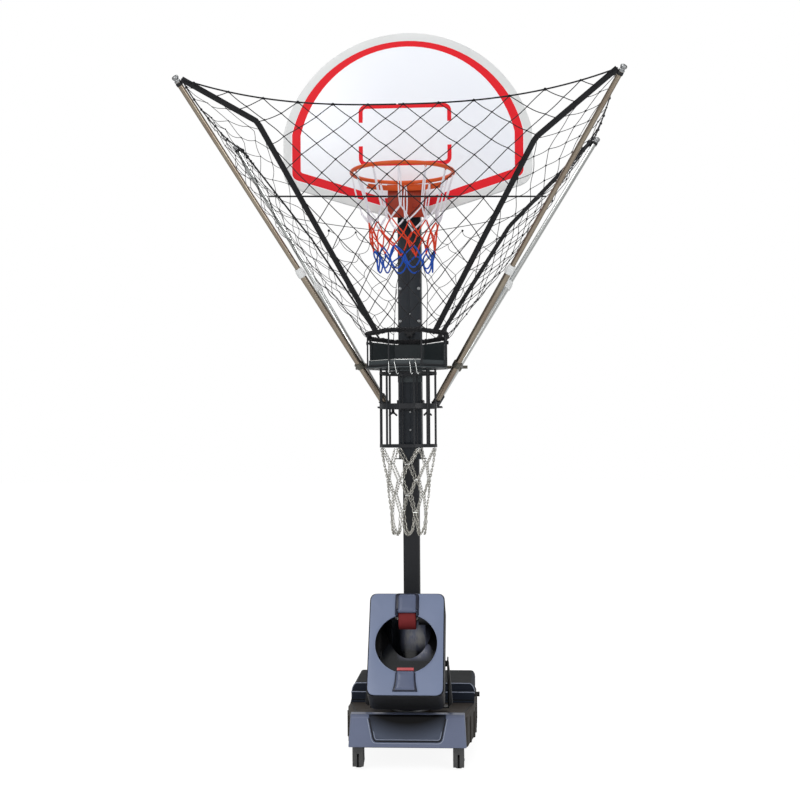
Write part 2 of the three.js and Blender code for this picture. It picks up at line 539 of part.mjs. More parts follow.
// Net ring, basket, shelf, cage and chain
const ringCircum = ring.across / 2 / Math.cos(Math.PI / ring.sides);
const ringPoint = (angle, z = 0, grow = 0) => {
  const x = Math.cos(angle) * (ringCircum + grow);
  const y = Math.sin(angle) * (ringCircum + grow);
  return V(x, ring.centre + y, ring.z + z - y * ring.tilt);
};
function addBasket() {
  const corner = (i) => ((i + 0.5) / ring.sides) * 2 * Math.PI;
  const hoopOf = (tube, z, tilt) => bodyOf(new THREE.TorusGeometry(ringCircum, tube, 6, ring.sides)
    .rotateZ(Math.PI / ring.sides)
    .applyMatrix4(new THREE.Matrix4().makeShear(0, 0, 0, -tilt, 0, 0)).translate(0, ring.centre, z));
  const bottom = basket.bottom + basket.hoopTube;
  const rods = [];
  for (let i = 0; i < ring.sides; i += 1) {
    const top = ringPoint(corner(i));
    rods.push(rod(V(top.x, top.y, bottom), top, basket.rod, 6));
  }
  const lugX = ring.across / 2;
  const lugZ = ring.z - ring.lug;
  const lugs = [-1, 1].map((side) => join(
    block(Math.min(side * (lugX - ring.tube), side * lugX), Math.max(side * (lugX - ring.tube), side * lugX),
      ring.centre - ring.knobRadius, ring.centre + ring.knobRadius, lugZ - ring.knobRadius, ring.z),
    rod(V(side * (lugX - ring.tube / 2), ring.centre, lugZ),
      V(side * (lugX + ring.knob), ring.centre, lugZ), ring.knobRadius, 8)));
  add('net_ring', join(hoopOf(ring.tube, ring.z, ring.tilt), hoopOf(basket.hoopTube, bottom, 0), rods,
    lugs), finish.blackSteel);

  const inner = ring.across / 2 - ring.tube - gap - basket.sheet;
  const wall = hoopFlat(inner / Math.cos(Math.PI / ring.sides),
    (inner + basket.sheet) / Math.cos(Math.PI / ring.sides),
    basket.bottom + gap, ring.z - (ring.across / 2) * ring.tilt - basket.below);
  const rearHalf = block(-ring.across, ring.across, ring.centre, ring.centre + ring.across,
    basket.bottom - over, ring.z);
  add('basket_panel', wall.intersect(rearHalf), finish.blackPlastic);

  const face = -post.width / 2 - gap;
  const shelfTop = basket.bottom - gap;
  const plateShape = new THREE.Shape();
  for (let i = 0; i < ring.sides; i += 1) {
    const p = ringPoint(corner(i), 0, shelf.rim);
    if (i) plateShape.lineTo(p.x, p.y); else plateShape.moveTo(p.x, p.y);
  }
  const plate = slab(plateShape, shelfTop - shelf.thick, shelfTop);
  const back = block(-shelf.flange, shelf.flange, ring.centre + ring.across / 2 - ring.tube, face,
    shelfTop - shelf.thick, shelfTop);
  const flange = block(-shelf.flange, shelf.flange, face - shelf.thick, face, shelfTop - shelf.flange,
    shelfTop);
  add('cage_shelf', cut(join(plate, back, flange),
    upright(shelf.hole, shelfTop - shelf.thick - over, shelfTop + over, 0, cage.centre, 24)), finish.zinc);

  const top = shelfTop - shelf.thick - gap;
  const cageRods = [];
  for (let i = 0; i < cage.rods; i += 1) {
    const a = ((i + 0.5) / cage.rods) * 2 * Math.PI;
    const at = (z) => V(Math.cos(a) * cage.radius, cage.centre + Math.sin(a) * cage.radius, z);
    cageRods.push(rod(at(cageRings[0]), at(top), cage.rod, 4));
  }
  const bands = cageRings.map((z, i) => {
    const tall = i === 1 ? cage.bandHeight : cage.ringHeight;
    return hoop(cage.radius - cage.band / 2, cage.radius + cage.band / 2, z - tall / 2, z + tall / 2,
      cage.centre);
  });
  const feet = cageRings.slice(0, -1).map((z) =>
    block(-cage.standoff / 2, cage.standoff / 2, cage.centre + cage.radius - cage.band / 2 + gap, face,
    z - cage.ringHeight / 2, z + cage.ringHeight / 2));
  add('ball_cage', join(bands, cageRods, feet), finish.blackSteel);
  const chainTop = cageRings[0] - cage.ringHeight / 2 - gap - chain.crown;
  add('chain_net', tubularNet(chain.columns, chain.levelShare.map((share) => chainTop - share * chain.length),
    chain.radiusShare.map((share) => share * cage.radius), cage.centre, chain.width, 1), finish.zinc);
}
function hoopFlat(inner, outer, z0, z1) {
  return bodyOf(new THREE.LatheGeometry([[inner, z0], [outer, z0], [outer, z1], [inner, z1], [inner, z0]]
    .map(([r, z]) => new THREE.Vector2(r, z)), ring.sides).rotateX(Math.PI / 2)
      .rotateZ(Math.PI / ring.sides).translate(0, ring.centre, 0));
}

// Arms: a sleeve held at its foot and at the stay bar, and a rod that slides out of it
const armList = [['fl', -1, 1], ['fr', 1, 1], ['rl', -1, 0], ['rr', 1, 0]].map(([name, side, isFront]) => {
  const foot = V(side * arm.footX, isFront ? arm.footFront : arm.footRear, arm.footZ);
  const tip = V(side * arm.tipX, isFront ? arm.tipFront : arm.tipRear, arm.footZ + arm.rise);
  const along = tip.clone().sub(foot).normalize();
  const atZ = (z) => foot.clone().addScaledVector(along, (z - foot.z) / along.z);
  return { name, side, isFront, foot, tip, along, atZ };
});
function addArms() {
  const boreRadius = arm.sleeveRadius + gap;
  const face = post.width / 2 + gap;
  const cups = armList.map(({ foot, along }) =>
    rod(foot.clone().addScaledVector(along, -arm.cupWall), foot.clone().addScaledVector(along, arm.cup),
    boreRadius + arm.cupWall, arm.sides));
  const bores = armList.map(({ foot, along }) =>
    rod(foot, foot.clone().addScaledVector(along, arm.cup + over), boreRadius, arm.sides));
  const ears = block(-footPlate.x, footPlate.x, footPlate.front, footPlate.rear, footPlate.z,
    footPlate.z + footPlate.thick);
  const collar = block(-face - footPlate.collarWall, face + footPlate.collarWall, -face,
    face + footPlate.collarWall, footPlate.z, footPlate.z + footPlate.collarHeight);
  add('arm_foot_bracket', cut(join(ears, collar, cups), bores,
    block(-face, face, footPlate.front - over, face, footPlate.z - over,
    footPlate.z + footPlate.collarHeight + over),
    upright(cage.radius + cage.band + cage.rod, footPlate.z - arm.cup, footPlate.z + 2 * arm.cup, 0,
      cage.centre, 24)), finish.blackSteel);

  const clamps = armList.map(({ atZ, along }) =>
    rod(atZ(stay.z).addScaledVector(along, -stay.clamp / 2),
    atZ(stay.z).addScaledVector(along, stay.clamp / 2), boreRadius + stay.clampWall, arm.sides));
  const holes = armList.map(({ atZ, along }) =>
    rod(atZ(stay.z).addScaledVector(along, -stay.clamp), atZ(stay.z).addScaledVector(along, stay.clamp),
    boreRadius, arm.sides));
  const reach = armList[1].atZ(stay.z).x + boreRadius + stay.clampWall / 2;
  const side = [-1, 1].map((s) => rod(V(s * reach, armList[0].atZ(stay.z).y, stay.z),
    V(s * reach, stay.rear, stay.z), stay.bar, 6));
  const bar = rod(V(-reach - stay.overhang, stay.rear, stay.z), V(reach + stay.overhang, stay.rear, stay.z),
    stay.bar, 6);
  const saddle = block(-face + stay.bar, face - stay.bar, face, stay.rear, stay.z - stay.yoke,
    stay.z + stay.yoke);
  add('stay_bar', cut(join(clamps, side, bar, saddle), holes), finish.blackSteel);

  armList.forEach(({ name, foot, tip, along, atZ }) => {
    const mouth = atZ(arm.footZ + arm.collarRise);
    const start = foot.clone().addScaledVector(along, gap);
    const sleeve = join(rod(start, mouth, arm.sleeveRadius, arm.sides),
      rod(mouth.clone().addScaledVector(along, -arm.collar), mouth, arm.collarRadius, arm.sides));
    const bore = rod(start.clone().addScaledVector(along, arm.cupWall),
      mouth.clone().addScaledVector(along, over), arm.rodRadius + gap, arm.sides);
    add(`arm_sleeve_${name}`, cut(sleeve, bore), finish.chrome);
    const inside = mouth.clone().addScaledVector(along, -arm.insert);
    const tube = pipe(inside, tip, arm.rodRadius, arm.rodRadius - arm.rodWall, arm.sides);
    const cap = rod(tip.clone().addScaledVector(along, -arm.cap), tip, arm.capRadius, arm.sides);
    add(`arm_rod_${name}`, join(tube, cap), finish.chrome);
  });
}

// Collecting net: one quarter for each arm, from the middle of the front or rear panel round the strap to the
// middle of the side panel
function addNets() {
  const columns = 2 * net.cells;
  const rows = 2 * net.rows;
  const mix = (a, b, t) => a.clone().lerp(b, t);
  armList.forEach(({ name, side, isFront, tip, along }) => {
    const dir = isFront ? -1 : 1;
    const clear = ring.tube + net.cord * net.footShare;
    const ringStart = isFront ? 0 : net.postShare;
    // share 0 is the middle of the front or rear of the ring, share 1 the middle of its side
    const ringAt = (share) => {
      const a = dir * (Math.PI / 2) * (1 - share);
      const sector = (2 * Math.PI) / ring.sides;
      // the octagon's flats face the front, the rear and the sides
      const local = THREE.MathUtils.euclideanModulo(a + sector / 2, sector) - sector / 2;
      const radius = (ring.across / 2 + clear) / Math.cos(local);
      const x = Math.max(Math.cos(a) * radius, isFront ? net.seam : 0);
      const y = dir * Math.max(dir * Math.sin(a) * radius, net.seam);
      return V(side * x, ring.centre + y, ring.z - y * ring.tilt);
    };
    const corner = tip.clone().addScaledVector(along, -arm.cap / 2);
    corner.x -= side * (arm.capRadius + net.cord + net.tipClear);
    const middleY = (arm.tipFront + arm.tipRear) / 2;
    const topOf = (from, to, sag) => (t) => {
      const p = mix(from, to, t);
      p.z = from.z + sag * t ** net.ropeCurve;
      return p;
    };
    const sagOf = isFront ? net.ropeSag : net.rearSag;
    const panelTop = V(side * net.seam, corner.y, corner.z - sagOf);
    const sideTop = V(corner.x, middleY + dir * net.seam, corner.z - net.sideSag);
    const ringCorner = ringAt(0.5);
    // the strap of each corner hangs in a little, at its own share of the way up
    const [share, hangIn] = net.kinks[name];
    const kink = mix(ringCorner, corner, share);
    kink.x -= side * hangIn;
    const strap = (v) => (v < share ? mix(ringCorner, kink, v / share)
      : mix(kink, corner, (v - share) / (1 - share)));
    const middle = (v) => {
      const p = mix(ringAt(ringStart), panelTop, v);
      p.y += dir * (isFront ? net.bulge : net.sideBulge) * Math.sin(Math.PI * v ** net.bulgeCurve);
      const beside = Math.abs(ringAt(ringStart).x);
      p.x = side * THREE.MathUtils.lerp(beside, net.seam,
        THREE.MathUtils.smoothstep(v, net.postShare, net.closeShare));
      return p;
    };
    const sideLine = (v) => {
      const p = mix(ringAt(1), sideTop, v);
      p.x += side * net.sideBulge * Math.sin(Math.PI * v);
      p.y = middleLine(v);
      return p;
    };
    const middleLine = (v) => THREE.MathUtils.lerp(ringAt(1).y, sideTop.y, v);
    // a patch between two side lines, a foot line and a top line
    const patch = (left, right, foot, top) => (u, v) => {
      const ruled = mix(left(v), right(v), u);
      const across = mix(foot(u), top(u), v);
      const flat = mix(mix(left(0), right(0), u), mix(left(1), right(1), u), v);
      return ruled.add(across).sub(flat);
    };
    const panel = patch(middle, strap, (t) => ringAt(ringStart + (0.5 - ringStart) * t),
      topOf(panelTop, corner, sagOf));
    const sideRope = topOf(sideTop, corner, net.sideSag);
    const flank = patch(strap, sideLine, (t) => ringAt(0.5 + t / 2), (t) => sideRope(1 - t));
    const at = (u, v) => (u <= 0.5 ? panel(2 * u, v) : flank(2 * u - 1, v));
    const knots = [];
    const links = [];
    const number = new Map();
    for (let j = 0; j <= rows; j += 1) {
      for (let i = j % 2; i <= columns; i += 2) {
        const u = i / columns;
        const v = j / rows;
        const p = at(u, v);
        const du = at(Math.min(1, u + nudge), v).sub(at(Math.max(0, u - nudge), v));
        const dv = at(u, Math.min(1, v + nudge)).sub(at(u, Math.max(0, v - nudge)));
        number.set(`${i},${j}`, knots.length);
        knots.push({ at: p, normal: du.cross(dv).normalize() });
      }
    }
    const link = (a, b) => {
      if (number.has(a) && number.has(b)) links.push([number.get(a), number.get(b)]);
    };
    for (let j = 0; j <= rows; j += 1) {
      for (let i = 0; i <= columns; i += 1) {
        const here = `${i},${j}`;
        link(here, `${i + 1},${j + 1}`);
        link(here, `${i - 1},${j + 1}`);
        if (j === 0 || j === rows || j === net.beltRow) link(here, `${i + 2},${j}`);
        if (i === 0 || i === columns) link(here, `${i},${j + 2}`);
        if (i === net.cells && j % 2 === net.cells % 2) link(here, `${i},${j + 2}`);
      }
    }
    add(`net_${name}`, knotted(knots, links, net.cord), finish.cord);
  });
}

// Throwing head, in a frame on the face panel: u runs up the face, d runs back from it
const faceAxes = { up: V(0, Math.sin(head.tilt), Math.cos(head.tilt)),
  back: V(0, Math.cos(head.tilt), -Math.sin(head.tilt)) };
const onFace = (x, u, d) => V(x, head.centreY, head.centreZ).addScaledVector(faceAxes.up, u)
  .addScaledVector(faceAxes.back, d);
function addHead() {
  const half = head.width / 2;
  const tall = head.height / 2;
  // from (x, u, -d) to the machine
  const placeFace = new THREE.Matrix4().makeBasis(V(1, 0, 0), faceAxes.up, faceAxes.back.clone().negate())
    .setPosition(V(0, head.centreY, head.centreZ));
  const onPanel = (shape, d0, d1, curveSegments = 24) =>
    bodyOf(new THREE.ExtrudeGeometry(shape, { depth: d1 - d0, bevelEnabled: false, curveSegments })
    .translate(0, 0, -d1).applyMatrix4(placeFace));
  const rect = (x0, x1, u0, u1) => new THREE.Shape([[x0, u0], [x1, u0], [x1, u1],
    [x0, u1]].map(([x, u]) => new THREE.Vector2(x, u)));
  const disc = (radius) => new THREE.Shape(new THREE.EllipseCurve(0, 0, radius, radius)
    .getPoints(head.discSteps).slice(0, -1));
  const faceShape = (inset) => outline(half - inset, inset - tall, tall - inset, head.corner - inset, 4);
  const topShroud = new THREE.Shape([[-shroud.halfTop, shroud.topFrom], [shroud.halfTop, shroud.topFrom],
    [shroud.halfTop, tall - over], [-shroud.halfTop, tall - over]]
    .map(([x, u]) => new THREE.Vector2(x, u)));
  const lowShroud = new THREE.Shape([[-shroud.halfTop, shroud.lowTo], [shroud.halfTop, shroud.lowTo],
    [shroud.halfLow, shroud.lowFrom], [-shroud.halfLow, shroud.lowFrom]]
    .map(([x, u]) => new THREE.Vector2(x, u)));
  add('head_face', cut(join(onPanel(faceShape(0), 0, head.panel), onPanel(topShroud, -shroud.proud, over),
    onPanel(lowShroud, -shroud.proud, over)),
    onPanel(disc(head.mouth), -2 * shroud.proud, head.panel + over),
      onPanel(rect(-head.notch, head.notch, 0, head.notchTop), -2 * shroud.proud, head.panel + over)),
      finish.faceGrey);

  const yaw = (radius, z0, z1) => upright(radius, z0, z1, 0, head.yawY, 28);
  const hopperY = head.yawY - hopper.forward;
  const pot = (radius, z0, z1) => upright(radius, z0, z1, 0, hopperY, 28);
  const rearWall = hopperY + hopper.inner + hopper.wall + over;
  const chamfer = (inset) => acrossX([[rearWall - hopper.chamfer - inset, hopper.bottom - over],
    [rearWall, hopper.bottom - over], [rearWall, hopper.bottom + hopper.chamfer + inset]], -head.width,
      head.width);
  const outerBox = onPanel(faceShape(0), head.panel + gap, head.depth);
  const innerBox = onPanel(faceShape(head.wall), head.panel - over, head.depth - head.wall);
  const outerPot = cut(pot(hopper.inner + hopper.wall, hopper.bottom, hopper.top), chamfer(0));
  const innerPot = cut(pot(hopper.inner, hopper.bottom + hopper.wall, head.centreZ + tall + over),
    chamfer(2 * hopper.wall));
  const stubs = [-1, 1].map((s) => rod(V(s * (half - head.wall / 2), head.pivotY, head.pivotZ),
    V(s * (half + head.pivotLength), head.pivotY, head.pivotZ), head.pivot, 12));
  add('head_shell', cut(join(outerBox, outerPot, stubs), innerBox, innerPot), finish.blackPlastic);

  [['upper', wheel.upperU, wheel.upperD, 1],
    ['lower', wheel.lowerU, wheel.lowerD, -1]].forEach(([name, u, d, side]) => {
    const at = (x) => onFace(x, u, d);
    add(`throwing_wheel_${name}`, cut(rod(at(-wheel.width / 2), at(wheel.width / 2), wheel.radius, 24),
      rod(at(-wheel.width), at(wheel.width), wheel.bore, 12)), finish.redRubber);
    const near = side * (wheel.width / 2 + motor.collar);
    add(`wheel_motor_${name}`, join(rod(at(near), at(near + side * motor.length), motor.radius, 16),
      rod(at(-side * (wheel.width / 2 + motor.collar)), at(near + side * over), wheel.axle, 12),
      rod(at(near + side * motor.length - side * over), at(side * (half - head.wall - gap)), wheel.hub,
        12)), finish.zinc);
  });

  const troughPart = (from, to) => {
    const arc = [];
    const steps = 10;
    for (let i = 0; i <= steps; i += 1) arc.push(-Math.PI / 2 - chute.halfAngle
      + (2 * chute.halfAngle * i) / steps);
    const point = (radius) => (a) => new THREE.Vector2(Math.cos(a) * radius,
      chute.centreU + Math.sin(a) * radius);
    return onPanel(new THREE.Shape([...arc.map(point(chute.inner + chute.sheet)),
      ...arc.reverse().map(point(chute.inner))]), from, to);
  };
  const wing = (side) => rect(Math.min(side * chute.inner, side * (half - head.wall - gap)),
    Math.max(side * chute.inner, side * (half - head.wall - gap)),
    chute.centreU - chute.sheet, chute.centreU);
  add('ball_chute', join(troughPart(chute.front, chute.rear), onPanel(wing(-1), chute.front, chute.rear),
    onPanel(wing(1), chute.front, chute.rear)), finish.smoked);

  const deckTop = base.deck + gap;
  const discBottom = deckTop + turntable.bearing + gap;
  const discTop = discBottom + turntable.thick;
  add('bearing_ring', hoop(turntable.bearingInner, turntable.bearingOuter, deckTop,
    deckTop + turntable.bearing, head.yawY), finish.zinc);
  add('turntable', yaw(turntable.radius, discBottom, discTop), finish.blackSteel);
  const floor = chassis.bottom + chassis.thick + gap;
  add('yaw_motor', join(upright(gearmotor.radius, floor, base.deck - base.wall - gap, 0, head.yawY),
    upright(turntable.shaft, floor + gearmotor.head, discBottom - gap, 0, head.yawY, 12)), finish.zinc);

  const plateZ = discTop + gap;
  const rear = head.yawY + yoke.rear;
  const front = head.yawY + yoke.front;
  const outerX = yoke.inner + yoke.sheet;
  const cheekProfile = [[rear, plateZ], [front, plateZ], [head.pivotY - yoke.eye, head.pivotZ],
    [head.pivotY - yoke.eye / 2, head.pivotZ + yoke.eye],
    [head.pivotY + yoke.eye / 2, head.pivotZ + yoke.eye], [head.pivotY + yoke.eye, head.pivotZ]];
  const cheeks = [-1, 1].map((s) => acrossX(cheekProfile, Math.min(s * yoke.inner, s * outerX),
    Math.max(s * yoke.inner, s * outerX)));
  const eyes = rod(V(-2 * outerX, head.pivotY, head.pivotZ), V(2 * outerX, head.pivotY, head.pivotZ),
    (head.pivot + gap) / Math.cos(Math.PI / axleSides), axleSides);
  add('head_yoke', cut(join(block(-outerX, outerX, front, rear, plateZ, plateZ + yoke.sheet), cheeks),
    eyes), finish.blackSteel);
}

addWheels();
addBase();
addMast();
addHoop();
addBasket();
addArms();
addNets();
addHead();

export default machine;
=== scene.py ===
# %% [markdown]
# # A basketball shooting machine
# The machine is a wheeled base with a throwing head, a mast that carries a hoop and a fan board, and a net
# like a funnel on four telescopic arms. The packed CAD model is loaded first. It says where everything is
# and what moves, so each piece here is made in the same place and rides on a body of it.

# %% The frame
import json
import math
import random

import bmesh
import bpy
from mathutils import Matrix, Vector


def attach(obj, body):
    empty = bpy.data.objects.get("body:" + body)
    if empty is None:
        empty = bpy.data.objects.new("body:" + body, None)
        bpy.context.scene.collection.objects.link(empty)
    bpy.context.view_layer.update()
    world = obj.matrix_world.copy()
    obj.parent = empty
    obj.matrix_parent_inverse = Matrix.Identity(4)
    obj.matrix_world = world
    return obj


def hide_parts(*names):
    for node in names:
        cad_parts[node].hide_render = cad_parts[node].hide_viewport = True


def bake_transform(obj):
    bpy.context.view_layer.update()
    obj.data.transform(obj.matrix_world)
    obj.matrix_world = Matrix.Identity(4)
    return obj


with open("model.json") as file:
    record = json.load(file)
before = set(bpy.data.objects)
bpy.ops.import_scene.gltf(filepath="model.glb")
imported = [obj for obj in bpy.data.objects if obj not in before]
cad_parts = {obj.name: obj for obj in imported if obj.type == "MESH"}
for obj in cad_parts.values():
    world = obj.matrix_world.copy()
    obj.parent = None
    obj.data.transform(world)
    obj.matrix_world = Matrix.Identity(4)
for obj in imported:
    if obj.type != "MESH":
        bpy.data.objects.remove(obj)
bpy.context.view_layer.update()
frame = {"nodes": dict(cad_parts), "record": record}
scene = bpy.context.scene

# %% [markdown]
# ## Millimetres from the mast
# A machine like this is drawn round its mast, in millimetres. Blender works in metres and the frame's
# origin is under the middle of the whole machine, so one small function turns a workshop size into a place.

# %% Places
MM = 0.001
MAST_Y = 168


def at(x, y, z):
    """A place in millimetres from the foot of the mast, as a point of the frame in metres."""
    return Vector((x, y + MAST_Y, z)) * MM


def mix(a, b, share):
    return a + (b - a) * share


def ease(value, low, high):
    """0 below low, 1 above high, and a smooth rise between them."""
    t = min(max((value - low) / (high - low), 0), 1)
    return t * t * (3 - 2 * t)


print("the mast's foot is at", tuple(round(c, 3) for c in at(0, 0, 0)))

# %% [markdown]
# ## The camera
# The photograph is taken from a little right of the machine, at chest height, with a long lens and the
# camera almost level. The camera's axes are written out from its turn, its rise and a slight lean, so that
# it can be checked by hand.

# %% Camera
EYE = at(384.7, -6548.7, 1538.4)
TURN, RISE, LEAN = 0.0669, 0.0292, 0.0067
SENSOR, LENS = 36, 59.24

ahead = Vector((-math.sin(TURN) * math.cos(RISE), math.cos(TURN) * math.cos(RISE), math.sin(RISE)))
level = Vector((math.cos(TURN), math.sin(TURN), 0))
above = level.cross(ahead)
right = level * math.cos(LEAN) - above * math.sin(LEAN)
up = level * math.sin(LEAN) + above * math.cos(LEAN)

camera = bpy.data.objects.new("camera", bpy.data.cameras.new("camera"))
scene.collection.objects.link(camera)
camera.data.sensor_width = SENSOR
camera.data.lens = LENS
camera.data.clip_end = 60
camera.matrix_world = Matrix.Translation(EYE) @ Matrix((right, up, -ahead)).transposed().to_4x4()
scene.camera = camera


def picture(point):
    """Where a point of the frame falls in the 800 by 800 picture."""
    away = point - EYE
    scale = LENS / SENSOR * 800 / away.dot(ahead)
    return 400 + away.dot(right) * scale, 400 - away.dot(up) * scale


print("the rim's middle falls at", [round(c, 1) for c in picture(at(0, -540, 2760))])

# %% [markdown]
# ## Writing a material as a sum
# A material is a small network of nodes. Drawn by hand it is a page of boxes; written as an expression it
# is one line. This class wraps an output socket, so that + - and * add the Math nodes.

# %% Shader maths
class Wire:
    """An output socket that takes part in sums. Without a socket it only makes nodes."""

    def __init__(self, tree, socket=None):
        self.tree, self.socket = tree, socket

    def node(self, kind, settings=None, inputs=None, out=0):
        """Adds a node: its settings first, then the values or links of its sockets."""
        made = self.tree.nodes.new("ShaderNode" + kind)
        for name, value in (settings or {}).items():
            if name == "stops":
                ramp = made.color_ramp.elements
                while len(ramp) < len(value):
                    ramp.new(0.5)
                for stop, (place, shade) in zip(ramp, value):
                    stop.position, stop.color = place, (*[shade] * 3, 1)
            else:
                setattr(made, name, value)
        for name, value in (inputs or {}).items():
            plug(self.tree, made.inputs[name], value)
        return Wire(self.tree, made.outputs[out])

    def math(self, operation, *values):
        return self.node("Math", {"operation": operation}, dict(enumerate(values)))

    def __add__(self, other):
        return self.math("ADD", self, other)

    def __sub__(self, other):
        return self.math("SUBTRACT", self, other)

    def __rsub__(self, other):
        return self.math("SUBTRACT", other, self)

    def __mul__(self, other):
        return self.math("MULTIPLY", self, other)

    def at_least(self, other):
        return self.math("MAXIMUM", self, other)

    def sine(self):
        return self.math("SINE", self)

    def rise(self, low, high):
        """0 where the wire is low, 1 where it is high, and even between them."""
        return self.node("MapRange", inputs={"Value": self, "From Min": low, "From Max": high})

    __radd__ = __add__
    __rmul__ = __mul__


def plug(tree, target, value):
    """Links a wire to a socket, or sets the socket to a plain value."""
    if isinstance(value, Wire):
        tree.links.new(value.socket, target)
    else:
        target.default_value = value


print("a wire has", [name for name in vars(Wire) if not name.startswith("__")], "and the signs + - *")

# %% [markdown]
# ## What every finish starts from
# Colours are easiest to judge as they look on a screen, so they are written as screen colours and turned
# into the linear values that a shader wants.

# %% Screen colours
def paint(code, strength=1.0):
    """A screen colour such as 7C88A5, as linear red, green, blue and alpha."""
    shades = [int(code[i : i + 2], 16) / 255 for i in (0, 2, 4)]
    linear = [c / 12.92 if c <= 0.04045 else ((c + 0.055) / 1.055) ** 2.4 for c in shades]
    return (*[c * strength for c in linear], 1)


print("the face's screen colour 7C88A5 is", [round(c, 3) for c in paint("7C88A5")[:3]], "in a shader")

# %% [markdown]
# Every finish is one Principled shader with a few of its sockets driven. Noise in the object's own
# coordinates moves with the piece, and a bump gives fine relief without any geometry.

# %% Colour, noise and bump
class Finish:
    """A material under way: its shader, and the wires that most finishes use."""

    def __init__(self, name, **sockets):
        self.material = bpy.data.materials.new(name)
        self.material.use_nodes = True
        self.tree = self.material.node_tree
        self.shader = self.tree.nodes["Principled BSDF"]
        self.start = Wire(self.tree)
        self.place = self.start.node("TexCoord", out="Object")
        self.set(**sockets)

    def set(self, **sockets):
        for name, value in sockets.items():
            plug(self.tree, self.shader.inputs[name.replace("_", " ")], value)
        return self

    def noise(self, scale, detail=3, stretch=None):
        place = self.place
        if stretch:
            place = self.start.node("Mapping", inputs={"Vector": place, "Scale": stretch})
        sockets = {"Vector": place, "Scale": scale, "Detail": detail}
        return self.start.node("TexNoise", inputs=sockets, out="Fac")

    def blend(self, share, a, b):
        return self.start.node("Mix", {"data_type": "RGBA"}, {0: share, 6: a, 7: b}, out=2)

    def axes(self):
        split = self.start.node("SeparateXYZ", inputs={0: self.place})
        return [Wire(self.tree, out) for out in split.socket.node.outputs]

    def bump(self, height, depth_mm, strength=1.0):
        sockets = {"Height": height, "Distance": depth_mm * MM, "Strength": strength}
        return self.set(Normal=self.start.node("Bump", inputs=sockets))


print("a finish has", [name for name in vars(Finish) if not name.startswith("__")])

# %% [markdown]
# ## Painted steel and moulded plastic
# Powder coat has a fine orange peel and dulls where hands rub it. So it is a base colour that wanders a
# little towards a worn one, a roughness that wanders with it, and a fine bump.

# %% Coats
def powder_coat(name, code, roughness=0.42, worn="2C2E32"):
    f = Finish(name, Specular_IOR_Level=0.32)
    broad, fine = f.noise(9), f.noise(900, 2)
    f.set(Base_Color=f.blend(broad * 0.35, paint(code), paint(worn)),
          Roughness=broad * 0.16 + (roughness - 0.08))
    return f.bump(fine, 0.08, 0.5).material


BLACK_COAT = powder_coat("black_coat", "191B1F")
POST_COAT = powder_coat("post_coat", "1B2026", 0.38, "30373F")
ORANGE_COAT = powder_coat("orange_coat", "D8561B", 0.35, "B23B14")
BRACKET_COAT = powder_coat("bracket_coat", "A33318", 0.45, "6A1E12")
print(len(bpy.data.materials), "finishes with the coats")

# %% [markdown]
# Moulded plastic has a finer grain from its mould and a softer gloss. It could share the coats' helper, but
# two short ones are easier to adjust. A textured moulding can also have a second colour for the faces that
# look up, as painted light: painted shade where it is darker, a painted highlight where it is paler.

# %% Mouldings
def moulded(name, code, roughness=0.4, grain=1400, depth=0.04, shade=0.8, shine=0.4, lid=None):
    """lid is painted light on the faces that look up: painted shade if darker, a painted highlight if paler.
    """
    f = Finish(name, Specular_IOR_Level=shine)
    broad, fine = f.noise(6), f.noise(grain, 2)
    colour = f.blend(broad, paint(code, shade), paint(code))
    if lid:
        # faces that look up get the lid colour, which is painted light on the top
        facing = f.start.node("NewGeometry", out="Normal")
        upward = facing.node("SeparateXYZ", inputs={0: facing}, out=2)
        colour = f.blend(upward.rise(0.6, 0.95), colour, paint(lid))
    f.set(Base_Color=colour, Roughness=broad * 0.12 + (roughness - 0.06))
    return f.bump(fine, depth, 0.6).material


# the cover's darker lid colour is painted shade on its top
COVER = moulded("cover", "2A303C", 0.62, shine=0.08, lid="1B1E20")
# the tub's paler lid colour is a painted highlight on its deck
TUB = moulded("tub", "2F2A24", 0.6, shine=0.3, lid="3D362F")
BUMPER = moulded("bumper", "6D7690", 0.34)
# pale plastic for tubes that stand in for highlights on rounded edges: painted highlight
HIGHLIGHT_BEAD = moulded("bead", "A2ABC0", 0.25)
FACE = moulded("face", "7C88A5", 0.32)
SHROUD = moulded("shroud", "5E6781", 0.28)
SKIRT = moulded("dark_blue", "1C2033", 0.35)
# paler than the wheels' red rubber: a painted highlight of the rubber lit from above
STRIP_PAINTED_HIGHLIGHT = moulded("strip", "C2565A", 0.35)
SHELL = moulded("shell", "0D0D0F", 0.5, shine=0.3)
CASTER = moulded("caster", "535353", 0.3, 200, 0.25)
TRIM = moulded("trim", "101114", 0.5)
PALE = moulded("pale", "E7E9E9", 0.4)
NYLON = moulded("nylon", "E4E2DC", 0.5)
PRINT = moulded("print", "E4252F", 0.5, 600, 0.01, 0.95, 0.12)
DARK_SHEET = moulded("dark_sheet", "20282B", 0.6)
GREY_SHEET = moulded("grey_sheet", "3C4346", 0.4)
print(len(bpy.data.materials), "finishes with the mouldings")

# %% [markdown]
# ## Bare metal and rubber
# A plated tube shows fine lines along it from its drawing, and it dulls where the plating has stained. So
# its roughness follows a noise that is stretched along the tube, and a much broader noise brings in the
# stain. Rubber is dull and a little paler where it is worn.

# %% Metals and rubbers
def bare_metal(name, code, roughness=0.3, stain="6B6355", stained=0.35, along=(30, 30, 3)):
    f = Finish(name, Metallic=1.0)
    drawn, broad = f.noise(40, 4, along), f.noise(7, 4)
    f.set(Base_Color=f.blend(broad * stained, paint(code), paint(stain)),
          Roughness=drawn * 0.18 + broad * 0.1 + (roughness - 0.14))
    return f.bump(drawn, 0.05, 0.3).material


